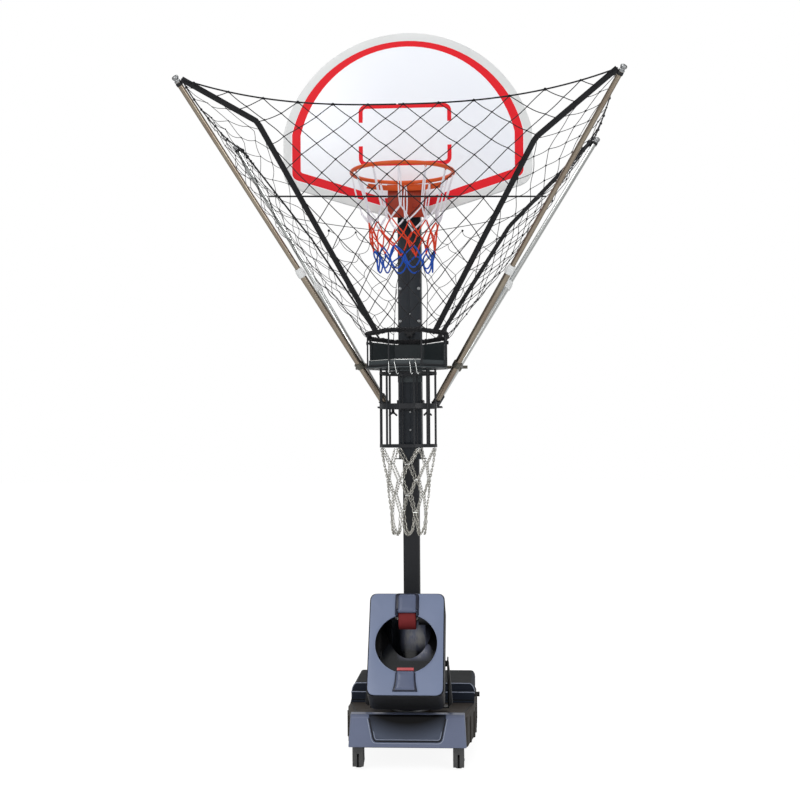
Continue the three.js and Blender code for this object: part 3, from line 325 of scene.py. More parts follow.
def rubber(name, code, roughness=0.75):
    f = Finish(name, Specular_IOR_Level=0.3)
    broad, fine = f.noise(25), f.noise(700, 3)
    f.set(Base_Color=f.blend(broad, paint(code, 0.7), paint(code)), Roughness=fine * 0.2 + (roughness - 0.1))
    return f.bump(fine, 0.2, 0.5).material


CHROME = bare_metal("chrome", "EEF1F0", 0.19, "B4B2AA", 0.3)
BRONZE = bare_metal("bronze", "AAA493", 0.28, "7D6458", 0.9)
ZINC = bare_metal("zinc", "A7AAAD", 0.38)
CHAIN_STEEL = bare_metal("chain_steel", "D6D4CC", 0.24, "5A564C", 0.6)
OLD_STEEL = bare_metal("old_steel", "77756C", 0.42, "4A463C", 0.7)
RED_RUBBER = rubber("red_rubber", "7E2628")
TYRE = rubber("tyre", "1C1C1D", 0.5)
print(len(bpy.data.materials), "finishes with the metals and rubbers")

# %% [markdown]
# ## Cord and webbing
# Cord is braided: seen close, light catches short slanting bundles. A texture of small cells gives the
# bundles without needing to know how the cord runs. Webbing gets a woven grid of two sines.

# %% Soft goods
def braided(name, code, roughness=0.8):
    f = Finish(name, Specular_IOR_Level=0.2, Sheen_Weight=0.15)
    strand = f.start.node("TexVoronoi", inputs={"Vector": f.place, "Scale": 420.0}, out="Distance")
    f.set(Base_Color=f.blend(strand, paint(code, 0.75), paint(code)),
          Roughness=strand * 0.15 + (roughness - 0.08))
    return f.bump(strand, 0.5, 0.7).material


def woven(name, code, threads=2600):
    f = Finish(name, Specular_IOR_Level=0.25, Sheen_Weight=0.2)
    x, y, z = f.axes()
    weave = ((x + y) * threads).sine() * (z * threads).sine() * 0.5 + 0.5
    f.set(Base_Color=f.blend(weave, paint(code, 0.7), paint(code)), Roughness=weave * 0.15 + 0.68)
    return f.bump(weave, 0.25, 0.6).material


NET_CORD = braided("net_cord", "15161A")
WHITE_CORD = braided("white_cord", "EDEAF2")
RED_CORD = braided("red_cord", "E4401C")
BLUE_CORD = braided("blue_cord", "1450B8")
WEBBING = woven("webbing", "17181B")
print(len(bpy.data.materials), "finishes with the cords and the webbing")

# %% [markdown]
# ## The board's sheet and the smoked chute
# The board is an almost white sheet with a faint blue cast. The chute behind the mouth is smoked plastic,
# scuffed by every ball that slides down it. The scuffs could be a painted image. Here they are streaks of
# noise that show only in a patch low in the middle, so they follow the chute at any size. The patch is a
# painted pool of light where light falls in through the hopper, and both smokes are painted paler than
# smoked plastic is, as painted light for the little light that reaches into the head.

# %% Sheets
def board_sheet():
    f = Finish("board_sheet", Specular_IOR_Level=0.5)
    broad, fine = f.noise(1.6, 2), f.noise(500, 2)
    f.set(Base_Color=f.blend(broad, paint("EDF1FA"), paint("F6F8FC")), Roughness=broad * 0.1 + 0.2)
    return f.bump(fine, 0.02, 0.3).material


def scuffed_smoke(name, dark, pale):
    """A painted pool of light shows the scuffs a little right of the machine's middle, between two heights in
    metres.
    """
    f = Finish(name, Specular_IOR_Level=0.6)
    streaks = f.noise(38, 4, (1, 0.6, 0.3))
    x, y, z = f.axes()
    # the patch is a painted pool of light where light falls in through the hopper; outside it the smoke is
    # dark
    aside = (x - 0.026) * 12
    painted_light_patch = (1 - aside * aside).at_least(0) * z.rise(0.65, 0.57) * z.rise(0.49, 0.54)
    scuffs_in_painted_light = streaks.node("ValToRGB", {"stops": [(0.44, 0), (0.62, 1)]}, {"Fac": streaks}) * painted_light_patch
    scuffed_and_painted_light = f.blend(scuffs_in_painted_light, paint(dark), paint(pale))
    f.set(Base_Color=f.blend(painted_light_patch, paint("1B1E23"), scuffed_and_painted_light), Roughness=scuffs_in_painted_light * 0.4 + 0.18)
    return f.bump(scuffs_in_painted_light, 0.3, 0.3).material


SHEET = board_sheet()
# both smokes are painted paler than smoked plastic is, as painted light inside the head
SMOKE_SCUFFS_PAINTED_LIGHT = scuffed_smoke("scuffed_smoke", "3A3F4D", "E6EAF4")
HAZED_PAINTED_LIGHT = scuffed_smoke("hazed_smoke", "A4ABCC", "FFFFFF")
print(len(bpy.data.materials), "finishes with the sheets")

# %% [markdown]
# ## The packed nodes
# A node of the CAD model that no piece replaces is still seen, so every node gets the finish that its
# material slot names.

# %% Finishes for the nodes
FOR_SLOT = {
    "black_steel": BLACK_COAT, "cover_plastic": COVER, "face_plastic": FACE, "black_plastic": SHELL,
    "battery_case": TRIM, "pale_plastic": PALE, "nylon": NYLON, "board_sheet": SHEET,
    "orange_steel": ORANGE_COAT, "hoop_cord": WHITE_CORD, "zinc": ZINC, "chain_steel": CHAIN_STEEL,
    "motor_steel": ZINC, "red_rubber": RED_RUBBER, "smoked_plastic": SMOKE_SCUFFS_PAINTED_LIGHT, "tyre": TYRE,
    "chrome": CHROME, "net_cord": NET_CORD,
}
for row in frame["record"]["subparts"]:
    kept = frame["nodes"][row["node"]].data.materials
    kept.clear()
    kept.append(FOR_SLOT[row["material_slot"]])
print(len(FOR_SLOT), "slots dressed on", len(frame["nodes"]), "nodes")

# %% [markdown]
# ## Edges that catch the light
# A real edge is never sharp, and its small bevel is what catches the light. A modifier could round the
# edges of an object. Here the mesh is bevelled while it is made, so that the exported piece is the one that
# is seen. Then its faces are shaded smooth, except over edges that turn sharply.

# %% Bevels and shading
SHARP = 28


def bevel_edges(bm, width, steps):
    sharp = [e for e in bm.edges if e.is_manifold and e.calc_face_angle(0) > math.radians(SHARP)]
    bmesh.ops.bevel(bm, geom=sharp, offset=width * MM, segments=steps, profile=0.6, affect="EDGES",
                    clamp_overlap=True)


def settled(bm, name, smooth):
    """The finished mesh, shaded smooth except over edges that turn by more than smooth degrees."""
    mesh = bpy.data.meshes.new(name)
    bm.to_mesh(mesh)
    bm.free()
    mesh.polygons.foreach_set("use_smooth", [True] * len(mesh.polygons))
    mesh.set_sharp_from_angle(angle=math.radians(smooth))
    return mesh


print("edges that turn by more than", SHARP, "degrees are bevelled")

# %% [markdown]
# ## Closed shapes from a few lines
# Most pieces are a tube along a path, a turned profile, or a plate cut from an outline. Each is made here
# as a closed skin, and several can be gathered in one mesh.

# %% Gathering shapes
def ring_section(radius, sides):
    angles = [math.tau * k / sides for k in range(sides)]
    return [(radius * math.cos(a), radius * math.sin(a)) for a in angles]


class Shapes:
    """Gathers closed shapes, in millimetres from the mast's foot, into one mesh."""

    def __init__(self):
        self.points, self.faces = [], []

    def add(self, points, faces):
        first = len(self.points)
        self.points += points
        self.faces += [tuple(first + i for i in face) for face in faces]
        return self

    def join(self, points, n, closed=False):
        """Joins rings of n points, one after the other. Both ends get a lid, or the last meets the first."""
        rings = len(points) // n
        faces = [(i * n + k, i * n + (k + 1) % n, (i + 1) % rings * n + (k + 1) % n, (i + 1) % rings * n + k)
                 for i in range(rings if closed else rings - 1) for k in range(n)]
        if not closed:
            faces += [tuple(range(n))[::-1], tuple(range(len(points) - n, len(points)))]
        return self.add(points, faces)

    def sweep(self, path, section, side=None, closed=False):
        """Carries a flat section, points (a, b), along a path. side keeps a flat one from turning."""
        path = [Vector(p) for p in path]
        count, points, across = len(path), [], None
        for i, p in enumerate(path):
            before = path[i - 1] if i or closed else p
            after = path[(i + 1) % count] if i + 1 < count or closed else p
            along = (after - before).normalized()
            if side is not None:
                across = Vector(side)
            elif across is None:
                across = along.orthogonal()
            across = (across - along * across.dot(along)).normalized()
            other = along.cross(across)
            points += [p + across * a + other * b for a, b in section]
        return self.join(points, len(section), closed)

    def tube(self, path, radius, sides=12, closed=False):
        return self.sweep(path, ring_section(radius, sides), closed=closed)

    def turned(self, profile, foot, axis=(0, 0, 1), sides=48, closed=False):
        """Turns a profile of (radius, height) about an axis. Ends at radius 0 close by themselves."""
        axis = Vector(axis).normalized()
        across = axis.orthogonal().normalized()
        other = axis.cross(across)
        points, rows = [], []
        for radius, height in profile:
            rows.append([])
            for k in range(1 if radius == 0 else sides):
                a = math.tau * k / sides
                spoke = across * math.cos(a) + other * math.sin(a)
                points.append(Vector(foot) + axis * height + spoke * radius)
                rows[-1].append(len(points) - 1)
        faces = []
        for low, high in zip(rows, rows[1:] + rows[:1] if closed else rows[1:]):
            for k in range(sides):
                corners = [(low, k), (low, k + 1), (high, k + 1), (high, k)]
                faces.append(tuple(dict.fromkeys(row[i % len(row)] for row, i in corners)))
        return self.add(points, faces)

    def plate(self, outline, place, front, back):
        """A flat plate: outline points (a, b), at depths front and back, set by place(a, b, depth)."""
        return self.join([Vector(place(a, b, d)) for d in (front, back) for a, b in outline], len(outline))

    def box(self, x0, x1, y0, y1, z0, z1):
        return self.plate([(x0, y0), (x1, y0), (x1, y1), (x0, y1)], lambda x, y, z: (x, y, z), z0, z1)

    def ball(self, centre, radius, sides=8, squash=1.0):
        steps = max(4, sides // 2)
        turns = [math.pi * i / steps - math.pi / 2 for i in range(steps + 1)]
        profile = [(0 if i in (0, steps) else radius * math.cos(a), radius * squash * math.sin(a))
                   for i, a in enumerate(turns)]
        return self.turned(profile, centre, sides=sides)

    def mesh(self, name, bevel=0.0, steps=3, smooth=35):
        """The mesh in metres, faces turned outwards, with bevelled edges and smooth shading."""
        bm = bmesh.new()
        corners = [bm.verts.new(at(*p)) for p in self.points]
        for face in self.faces:
            bm.faces.new([corners[i] for i in face])
        bmesh.ops.recalc_face_normals(bm, faces=bm.faces)
        if bevel:
            bevel_edges(bm, bevel, steps)
        return settled(bm, name, smooth)


cube = Shapes().box(0, 10, 0, 10, 0, 10).mesh("trial_cube", bevel=1)
print("a cube with its edges bevelled has", len(cube.polygons), "faces")
bpy.data.meshes.remove(cube)

# %% [markdown]
# ## From shapes to pieces
# A piece is an object with one finish. It rides on a body of the model, so that it moves with it, and it
# says which packed nodes it replaces, which are then hidden. Holes that an outline can't give are cut with
# a boolean.

# %% Pieces
def piece(name, shapes, body, finish, replaces=(), bevel=0.0, steps=3, smooth=35):
    """Makes a piece of gathered shapes, gives it its finish and lets it ride on its body."""
    obj = bpy.data.objects.new(name, shapes.mesh(name, bevel, steps, smooth))
    scene.collection.objects.link(obj)
    return dress(obj, body, finish, replaces)


def dress(obj, body, finish, replaces=()):
    obj.data.materials.clear()
    obj.data.materials.append(finish)
    if body:
        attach(obj, body)
    if replaces:
        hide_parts(*replaces)
    return obj


def carve(obj, tools, operation="DIFFERENCE"):
    """Cuts tools, which are gathered shapes, out of a piece."""
    for i, tool in enumerate(tools):
        cutter = bpy.data.objects.new(f"{obj.name}_tool{i}", tool.mesh("tool"))
        scene.collection.objects.link(cutter)
        cutting = obj.modifiers.new("cut", "BOOLEAN")
        cutting.object, cutting.operation, cutting.solver = cutter, operation, "EXACT"
        bpy.context.view_layer.update()
        evaluated = obj.evaluated_get(bpy.context.evaluated_depsgraph_get())
        mesh = bpy.data.meshes.new_from_object(evaluated)
        obj.modifiers.clear()
        obj.data = mesh
        bpy.data.objects.remove(cutter)
    return obj


# %% [markdown]
# ## The fan board
# The board is one moulding: a pale rim with a round edge, and a sheet inside it. The outline is an arc over
# two upright sides, and its foot slants in to the bracket. The same outline drawn further in gives the red
# border, so border and board always run side by side.

# %% Board outline
BOARD = {"half": 609, "top": 3524, "arc": 624, "bottom": 2628, "flat": 110, "side_foot": 2784,
         "corner": 84, "face": -166, "thick": 30}


def board_outline(inset=0, corner=None, steps=40):
    half, radius = BOARD["half"] - inset, BOARD["arc"] - inset
    centre = BOARD["top"] - BOARD["arc"]
    side = math.acos(half / radius)
    slope = math.atan2(BOARD["side_foot"] - BOARD["bottom"], BOARD["half"] - BOARD["flat"])
    corner = max(BOARD["corner"] - inset, 12) if corner is None else corner
    foot = (BOARD["side_foot"] + inset / math.cos(slope) + corner * math.tan((math.pi / 2 - slope) / 2)
            - inset * math.tan(slope))
    points = []
    for i in range(steps + 1):
        a = side + (math.pi - 2 * side) * i / steps
        points.append((radius * math.cos(a), centre + radius * math.sin(a)))
    for i in range(7):
        a = math.pi + (math.pi / 2 - slope) * i / 6
        points.append((corner - half + corner * math.cos(a), foot + corner * math.sin(a)))
    flat = BOARD["flat"]
    low = BOARD["bottom"] + inset
    points += [(-flat, low), (flat, low)]
    points += [(-x, z) for x, z in points[steps + 1 : steps + 8][::-1]]
    return points


def on_board(x, z, depth):
    """A place on the board, with depth counted back from its face."""
    return x, BOARD["face"] + depth, z


print("the board's outline has", len(board_outline()), "points")

# %% [markdown]
# The border is a closed band between two outlines. A band is a plate with a hole, so the two outlines are
# joined face by face. It stands 0.4 mm proud of the sheet, which is about what a screen print and its clear
# coat do.

# %% Board pieces
def band(shapes, outer, inner, place, front, back):
    """A closed band between two outlines of as many points."""
    loops = [(outer, front), (inner, front), (inner, back), (outer, back)]
    return shapes.join([Vector(place(a, b, d)) for line, d in loops for a, b in line], len(outer), True)


def lifted(outline, rise):
    """The outline with its arch raised, most at the very top."""
    return [(x, z + rise * ease(z, BOARD["side_foot"] + 120, BOARD["top"])) for x, z in outline]


sheet = Shapes().plate(board_outline(3), on_board, 0.8, 6)
piece("board_sheet", sheet, "hoop", SHEET, ["backboard"], bevel=1.0)
lip = band(Shapes(), board_outline(0), board_outline(40), on_board, 0, 5)
piece("board_lip", lip, "hoop", PALE, bevel=2.0)
moulding = band(Shapes(), board_outline(0), board_outline(12), on_board, 6.4, BOARD["thick"])
piece("board_edge_moulding", moulding, "hoop", PALE, ["board_edge"], bevel=4.5)
PRINTED = (0.4, 1.4)
arches = [lifted(board_outline(43, 36), 13), lifted(board_outline(85, 14), 19)]
piece("board_border", band(Shapes(), *arches, on_board, *PRINTED), "hoop", PRINT)
print("the board is", 2 * BOARD["half"], "mm wide and", BOARD["top"] - BOARD["bottom"], "mm tall")

# %% [markdown]
# The target is a rounded box round the place to aim at. On this board its two sides are broken, each into
# an upper and a lower hook, so it is two strokes that bend at their ends.

# %% Target
TARGET = {"half": 227, "low": 2872, "high": 3174, "line": 20, "round": 26, "upper": 3086, "lower": 2970,
          "middle": -10}


def stroke(shapes, points, width, place, front, back):
    """A printed line of even width along points (a, b)."""
    left, righthand = [], []
    for i, p in enumerate(points):
        before, after = Vector(points[max(i - 1, 0)]), Vector(points[min(i + 1, len(points) - 1)])
        along = (after - before).normalized()
        aside = Vector((-along.y, along.x)) * width / 2
        left.append(tuple(Vector(p) + aside))
        righthand.append(tuple(Vector(p) - aside))
    return shapes.plate(left + righthand[::-1], place, front, back)


def rounded_hook(edge, end):
    """The stroke along one edge of the target, with both ends turned towards end."""
    half, r = TARGET["half"] - TARGET["line"] / 2, TARGET["round"]
    turn = 1 if end > edge else -1
    turns = [math.pi / 12 * i for i in range(7)]
    corner = [(r * (1 - math.cos(t)), r * (1 - math.sin(t))) for t in turns]
    leftside = [(-half, end)] + [(-half + a, edge + turn * b) for a, b in corner]
    return leftside + [(-x, z) for x, z in leftside[::-1]]


target, half_line = Shapes(), TARGET["line"] / 2
edges = ((TARGET["high"] - half_line, TARGET["upper"]), (TARGET["low"] + half_line, TARGET["lower"]))
for edge, end in edges:
    hook = [(x + TARGET["middle"], z) for x, z in rounded_hook(edge, end)]
    stroke(target, hook, TARGET["line"], on_board, *PRINTED)
piece("board_target", target, "hoop", PRINT)
print("the target is", 2 * TARGET["half"], "mm wide, and its middle is at x", TARGET["middle"])

# %% [markdown]
# ## Rim, hooks and bracket
# The rim is a bent round bar, so it is a tube swept round a circle and not a disc with a hole. A plate and
# a band weld it to its bracket, and a small wire hook is welded under it for every loop of the net.

# %% Rim
RIM = {"mean": 234, "bar": 9, "y": -540, "z": 2760, "hooks": 12}


def round_rim(angle, reach, z):
    return Vector((math.cos(angle) * reach, RIM["y"] + math.sin(angle) * reach, z))


whole = [round_rim(math.tau * i / 96, RIM["mean"], RIM["z"]) for i in range(96)]
rim = Shapes().tube(whole, RIM["bar"], 16, True)
rear = [math.pi / 2 + 0.82 * (i / 12 - 1) for i in range(25)]
rim.sweep([round_rim(a, RIM["mean"] + 7.4, RIM["z"] - 26) for a in rear],
          [(-1.5, -13), (1.5, -13), (1.5, 13), (-1.5, 13)])
for i in range(RIM["hooks"]):
    a = i * math.tau / RIM["hooks"]
    turn = [round_rim(a + 0.022 * math.cos(t), RIM["mean"], RIM["z"] - 6 - 8.5 * math.sin(t))
            for t in [math.pi * k / 8 for k in range(9)]]
    rim.tube(turn, 2.2, 8)
rim.box(-88, 88, -312, -172.6, 2745, 2750.5)
piece("rim_bar", rim, "hoop", ORANGE_COAT, ["rim"], bevel=0.6, steps=2)
print("the rim's opening is", 2 * (RIM["mean"] - RIM["bar"]), "mm wide")

# %% [markdown]
# The bracket behind the rim is folded from sheet: a front plate, two sides and a top. Thin boxes that touch
# are enough for it. Four bolt heads hold the front plate.

# %% Rim bracket
bracket = Shapes()
bracket.box(-88, 88, -279, -273, 2598, 2744.5)
bracket.box(-88, -82, -273, -166.4, 2598, 2744.5).box(82, 88, -273, -166.4, 2598, 2744.5)
bracket.box(-82, 82, -273, -166.4, 2738.5, 2744.5)
for x in (-40, 40):
    for z in (2650, 2705):
        bracket.turned([(0, 0), (9, 0), (9, 4), (6, 6), (0, 6)], (x, -279, z), (0, -1, 0), 6)
piece("rim_bracket_box", bracket, "hoop", BRACKET_COAT, ["rim_bracket"], bevel=1.2, steps=2)
print("rim bracket:", len(bracket.faces), "faces before its edges are rounded")

# %% [markdown]
# ## The hoop's own net
# Each hook holds one long loop of cord, so two strands hang side by side from every hook down to the first
# knot. Below it the strands part and cross into diamonds, and the last row hangs in open loops. It is dyed
# in three bands, white, red and blue, and each band is a piece of its own because it has its own colour.

# %% Knots of the hoop net
# height, reach and turn (in hooks) of each row of knots
HOOP_ROWS = [(2744, 232, 0), (2580, 181, 0), (2522, 163, 0.5), (2466, 152, 0), (2402, 141, 0.5),
             (2359, 134, 0)]
HOOP_LEAN = (0, 0, 3, 6, 10, 12)
BAND_OF = ["white", "white", "red", "red", "blue"]


def hoop_knot(column, row):
    z, reach, turn = HOOP_ROWS[row]
    return round_rim((column + turn) * math.tau / RIM["hooks"], reach, z) + Vector((HOOP_LEAN[row], 0, 0))


def slack(a, b, bow, steps=6):
    """Points from a to b that bow sideways."""
    return [mix(a, b, t) + bow * math.sin(math.pi * t) for t in [i / steps for i in range(steps + 1)]]


print("the hoop net is", HOOP_ROWS[0][0] - HOOP_ROWS[-1][0], "mm long down to its last knots")

# %% [markdown]
# No two strands hang alike, so the knots are moved a little by chance, every strand bows its own way, and
# some strands lie double. The chance starts from a fixed seed, so the net comes out the same each time.

# %% Hoop net
random.seed(7)
hoop_bands = {name: Shapes() for name in ("white", "red", "blue")}
shaken = {(c, r): hoop_knot(c, r) + Vector([random.uniform(-1, 1) * (9 if r else 0) for _ in range(3)])
          for r in range(6) for c in range(RIM["hooks"])}
for row, colour in enumerate(BAND_OF):
    shapes = hoop_bands[colour]
    for column in range(RIM["hooks"]):
        top = shaken[column, row]
        out = (top - Vector((0, RIM["y"], top.z))).normalized()
        aside = out.cross(Vector((0, 0, 1)))
        if row == 0:
            for side in (-1, 1):
                bow = aside * side * random.uniform(1, 6) + out * random.uniform(-4, 4)
                foot = shaken[column, 1] + aside * side * 2.5
                shapes.tube(slack(top + aside * side * 2, foot, bow, 8), 3.2, 8)
        else:
            for shift in ((-1, 0) if row % 2 else (0, 1)):
                foot = shaken[(column + shift) % RIM["hooks"], row + 1]
                for k in range(2 if row == 1 or random.random() < 0.35 else 1):
                    bow = aside * random.uniform(-5, 5) + out * random.uniform(-5, 5)
                    shapes.tube(slack(top, foot, bow), 3.6 if colour == "blue" else 3.0, 8)
        shapes.ball(shaken[column, row + 1], random.uniform(4.6, 6), 8, 1.3)
for column in range(RIM["hooks"]):
    start, end = shaken[column, 5], shaken[(column + 1) % RIM["hooks"], 5]
    hang = Vector((0, 0, -random.uniform(46, 57)))
    loop = [mix(start, end, t) + hang * math.sin(math.pi * t) ** 0.75 for t in [k / 14 for k in range(15)]]
    hoop_bands["blue"].tube(loop, 3.6, 8)
for name, finish in (("white", WHITE_CORD), ("red", RED_CORD), ("blue", BLUE_CORD)):
    piece(f"hoop_net_{name}", hoop_bands[name], "hoop", finish, ["hoop_net"], smooth=60)
print("hoop net:", sum(len(band.faces) for band in hoop_bands.values()), "faces")

# %% [markdown]
# ## The four arms
# Each arm is a tube in a tube. The outer one is held at the foot bracket and at the stay bar and ends in a
# pale collar, and the inner one slides in it and ends in a dark cap that holds the net. The front arms have
# taken on a bronze cast, and the rear ones are still bright.

# %% Arms
ARM = {"foot": (126, -82, -14, 1712), "tip": (985, -868, 532, 3143), "collar_z": 2340}


class Arm:
    def __init__(self, name):
        self.name = name
        self.side = -1 if name[1] == "l" else 1
        self.front = name[0] == "f"
        fx, front_y, rear_y, fz = ARM["foot"]
        tx, tip_front, tip_rear, tz = ARM["tip"]
        self.foot = Vector((self.side * fx, front_y if self.front else rear_y, fz))
        self.tip = Vector((self.side * tx, tip_front if self.front else tip_rear, tz))
        self.along = (self.tip - self.foot).normalized()

    def at_z(self, z):
        return self.foot + self.along * ((z - self.foot.z) / self.along.z)


ARMS = [Arm(name) for name in ("fl", "fr", "rl", "rr")]
print("arms:", [round((arm.tip - arm.foot).length) for arm in ARMS], "mm long")

# %% [markdown]
# Every part of an arm is turned, so each is a profile that runs round the arm's line. The cap has a waist
# for the net's loop, and a dark band is clamped behind it.

# %% Arm pieces
# each profile is (radius, height); heights of the cap and the band are counted from the tip
COLLAR = [(13, 0), (19, 0), (21, 3), (21, 30), (18, 34), (18, 44), (16.5, 46), (13, 46)]
CAP = [(0, -33), (13.6, -33), (14.6, -31), (14.6, -25), (12, -23), (11, -20.5), (12, -18), (14.6, -15),
       (15.8, -10), (15.2, -5), (11.5, -1.2), (6, 0), (0, 0)]
CLAMP = [(0, -50), (13.6, -50), (15.2, -48), (15.2, -36), (13.6, -34.5), (0, -34.5)]


def pipe(inner, outer, low, high):
    """The profile of a plain pipe."""
    return [(inner, low), (outer, low), (outer, high), (inner, high)]


for arm in ARMS:
    tube_finish = BRONZE if arm.front else CHROME
    mouth = arm.at_z(ARM["collar_z"])
    reach = (mouth - arm.foot).length
    sleeve = Shapes().turned(pipe(13, 16, 0.3, reach - 44), arm.foot, arm.along, 32, True)
    piece(f"sleeve_{arm.name}", sleeve, "hoop", tube_finish, [f"arm_sleeve_{arm.name}"],
          bevel=0.5, steps=1)
    collar = Shapes().turned(COLLAR, mouth - arm.along * 46, arm.along, 32, True)
    piece(f"collar_{arm.name}", collar, "hoop", PALE, bevel=0.8, steps=2)
    body, start = f"arm_{arm.name}", mouth - arm.along * 130
    rod = Shapes().turned(pipe(10.5, 12.5, 0, (arm.tip - start).length - 30), start, arm.along, 32, True)
    piece(f"rod_{arm.name}", rod, body, tube_finish, [f"arm_rod_{arm.name}"], smooth=50)
    piece(f"tip_{arm.name}", Shapes().turned(CAP, arm.tip, arm.along, 28), body, ZINC, smooth=50)
    clamp = Shapes().turned(CLAMP, arm.tip, arm.along, 24)
    piece(f"tip_band_{arm.name}", clamp, body, TRIM, bevel=0.6, steps=2)
print("each sleeve is", round(reach), "mm long up to its collar's mouth")

# %% [markdown]
# ## The collecting net
# The net is a funnel from the four tips down to an eight-sided ring. It is made in quarters, one for each
# arm, because on the machine a quarter goes slack when its arm slides in: the ring end stays, and the tip
# end follows the arm. Here the quarters stay where they are made. Each quarter is two patches that meet at
# the strap. A patch is worked out from its four edges, so neighbours share an edge exactly.

# %% Sizes of the net
RING = {"sides": 8, "across": 370, "y": -251, "z": 2030, "tilt": 0.08}
NET = {"clear": 11.7, "seam": 3.8, "post_share": 0.25, "close": 0.6, "bulge": 190, "side_bulge": 50,
       "sag_front": 134, "sag_rear": 50, "sag_side": 40, "curve": 2.5}
# how far up each strap bends, as a share of its length, and how far in it hangs there
KINKS = {"fl": (0.837, 190), "fr": (0.754, 150), "rl": (0.5, 25), "rr": (0.55, 85)}
# the side seams end midway between the front and the rear tips
SIDE_Y = (ARM["tip"][1] + ARM["tip"][2]) / 2
print("the net's foot is", RING["across"], "mm across")

# %% [markdown]
# The four edges of a patch are curves: along the ring, up the seam, up the strap and along the rope. A
# point inside is the sum of what the two pairs of opposite edges say, less what the four corners alone say.
# That is a Coons patch. The netting is laid out in millimetres from a seam, so one more method finds the
# point at such a distance.

# %% Net surface
class Quarter:
    """A quarter of the net: at(u, v) with u 0 at the front or rear seam, 0.5 at the strap and 1 at the side
    seam, and v 0 at the ring and 1 at the top rope."""

    def __init__(self, arm):
        self.arm, self.side, self.way = arm, arm.side, -1 if arm.front else 1
        self.start = 0 if arm.front else NET["post_share"]
        self.corner = arm.tip - arm.along * 17
        self.corner.x -= self.side * 24.2
        self.sag = NET["sag_front"] if arm.front else NET["sag_rear"]
        self.panel_top = Vector((self.side * NET["seam"], self.corner.y, self.corner.z - self.sag))
        side_z = self.corner.z - NET["sag_side"]
        self.side_top = Vector((self.corner.x, SIDE_Y + self.way * NET["seam"], side_z))
        self.ring_corner = self.ring(0.5)
        self.bend, hang = KINKS[arm.name]
        self.kink = mix(self.ring_corner, self.corner, self.bend)
        self.kink.x -= self.side * hang

    def ring(self, share):
        """A point on the ring, from the panel's middle at 0 to the side seam at 1."""
        a = self.way * math.pi / 2 * (1 - share)
        sector = math.tau / RING["sides"]
        local = (a + sector / 2) % sector - sector / 2
        radius = (RING["across"] / 2 + NET["clear"]) / math.cos(local)
        x = max(math.cos(a) * radius, NET["seam"] if self.arm.front else 0)
        y = self.way * max(self.way * math.sin(a) * radius, NET["seam"])
        return Vector((self.side * x, RING["y"] + y, RING["z"] - y * RING["tilt"]))

    def rope(self, start, rise, t):
        p = mix(start, self.corner, t)
        p.z = start.z + rise * t ** NET["curve"]
        return p

    def strap(self, v):
        if v < self.bend:
            return mix(self.ring_corner, self.kink, v / self.bend)
        return mix(self.kink, self.corner, (v - self.bend) / (1 - self.bend))

    def middle(self, v):
        foot = self.ring(self.start)
        p = mix(foot, self.panel_top, v)
        bulge = NET["bulge"] if self.arm.front else NET["side_bulge"]
        p.y += self.way * bulge * math.sin(math.pi * v ** 0.7)
        p.x = self.side * mix(abs(foot.x), NET["seam"], ease(v, NET["post_share"], NET["close"]))
        return p

    def flank(self, v):
        p = mix(self.ring(1), self.side_top, v)
        p.x += self.side * NET["side_bulge"] * math.sin(math.pi * v)
        return p

    def at(self, u, v):
        if u <= 0.5:
            left, righthand, t = self.middle, self.strap, 2 * u
            foot = self.ring(self.start + (0.5 - self.start) * t)
            top = self.rope(self.panel_top, self.sag, t)
        else:
            left, righthand, t = self.strap, self.flank, 2 * u - 1
            foot = self.ring(0.5 + t / 2)
            top = self.rope(self.side_top, NET["sag_side"], 1 - t)
        flat = mix(mix(left(0), righthand(0), t), mix(left(1), righthand(1), t), v)
        return mix(left(v), righthand(v), t) + mix(foot, top, v) - flat

    def spread(self, on_flank, away, v):
        """The point at a distance from the seam in millimetres, along x on a panel and y on a flank, or None
        where the strap, the ring or the rope ends the net."""
        if not 0 <= v <= 1 or away < -1e-6:
            return None
        away = max(away, 0)
        if on_flank:
            line = mix(RING["y"], SIDE_Y, v)
            near, far = NET["seam"], self.way * (self.strap(v).y - line)
        else:
            near, far = abs(self.middle(v).x), abs(self.strap(v).x)
        if away > far or away < (near if not (on_flank or self.arm.front) else 0):
            return None
        share = max(away - near, 0) / (far - near) / 2
        p = self.at(1 - share if on_flank else share, v)
        if on_flank:
            p.y = line + self.way * away
        else:
            p.x = self.side * away
        return p


QUARTERS = [Quarter(arm) for arm in ARMS]
print("the front seam of the net meets the rope at", [round(c) for c in QUARTERS[0].panel_top])

# %% [markdown]
# Netting has bars of one length and hangs as even diamonds that only draw in a little towards the ring. It
# doesn't narrow with the funnel: where a strap crosses it, the bars end at the strap. So the knots are laid
# out in millimetres from each seam, every bar is drawn between two of them, and each quarter keeps its part
# of a bar. At the rear the board stops the ball, so that panel ends halfway up. Some disorder, more on the
# slack rear than on the taut front, keeps it from looking printed.

# %% Bars and knots
BAR = 97.6
BLEND_WAY = Vector((0.593, 0.805, 0))


def slacken(obj, arm):
    """Bakes the piece's place into its mesh; the piece stays as made and doesn't follow the arm's tip."""
    way = Vector((arm.side * BLEND_WAY.x, (-1 if arm.front else 1) * BLEND_WAY.y, 0))
    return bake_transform(obj)


def half_diamond(v):
    """Half a diamond's width: wider under the rope, narrower near the ring."""
    return mix(50, 77, ease(v, 0, 0.85))


def knot_rows(seam, top):
    """The v of each row of knots down a seam from the top edge, so that every bar has its length."""
    rows = [top]
    while rows[-1] > 0:
        v = rows[-1]
        speed = (seam(v) - seam(max(v - 0.02, 0))).length / min(v, 0.02)
        rows.append(v - math.sqrt(BAR**2 - half_diamond(v) ** 2) / speed)
    return rows


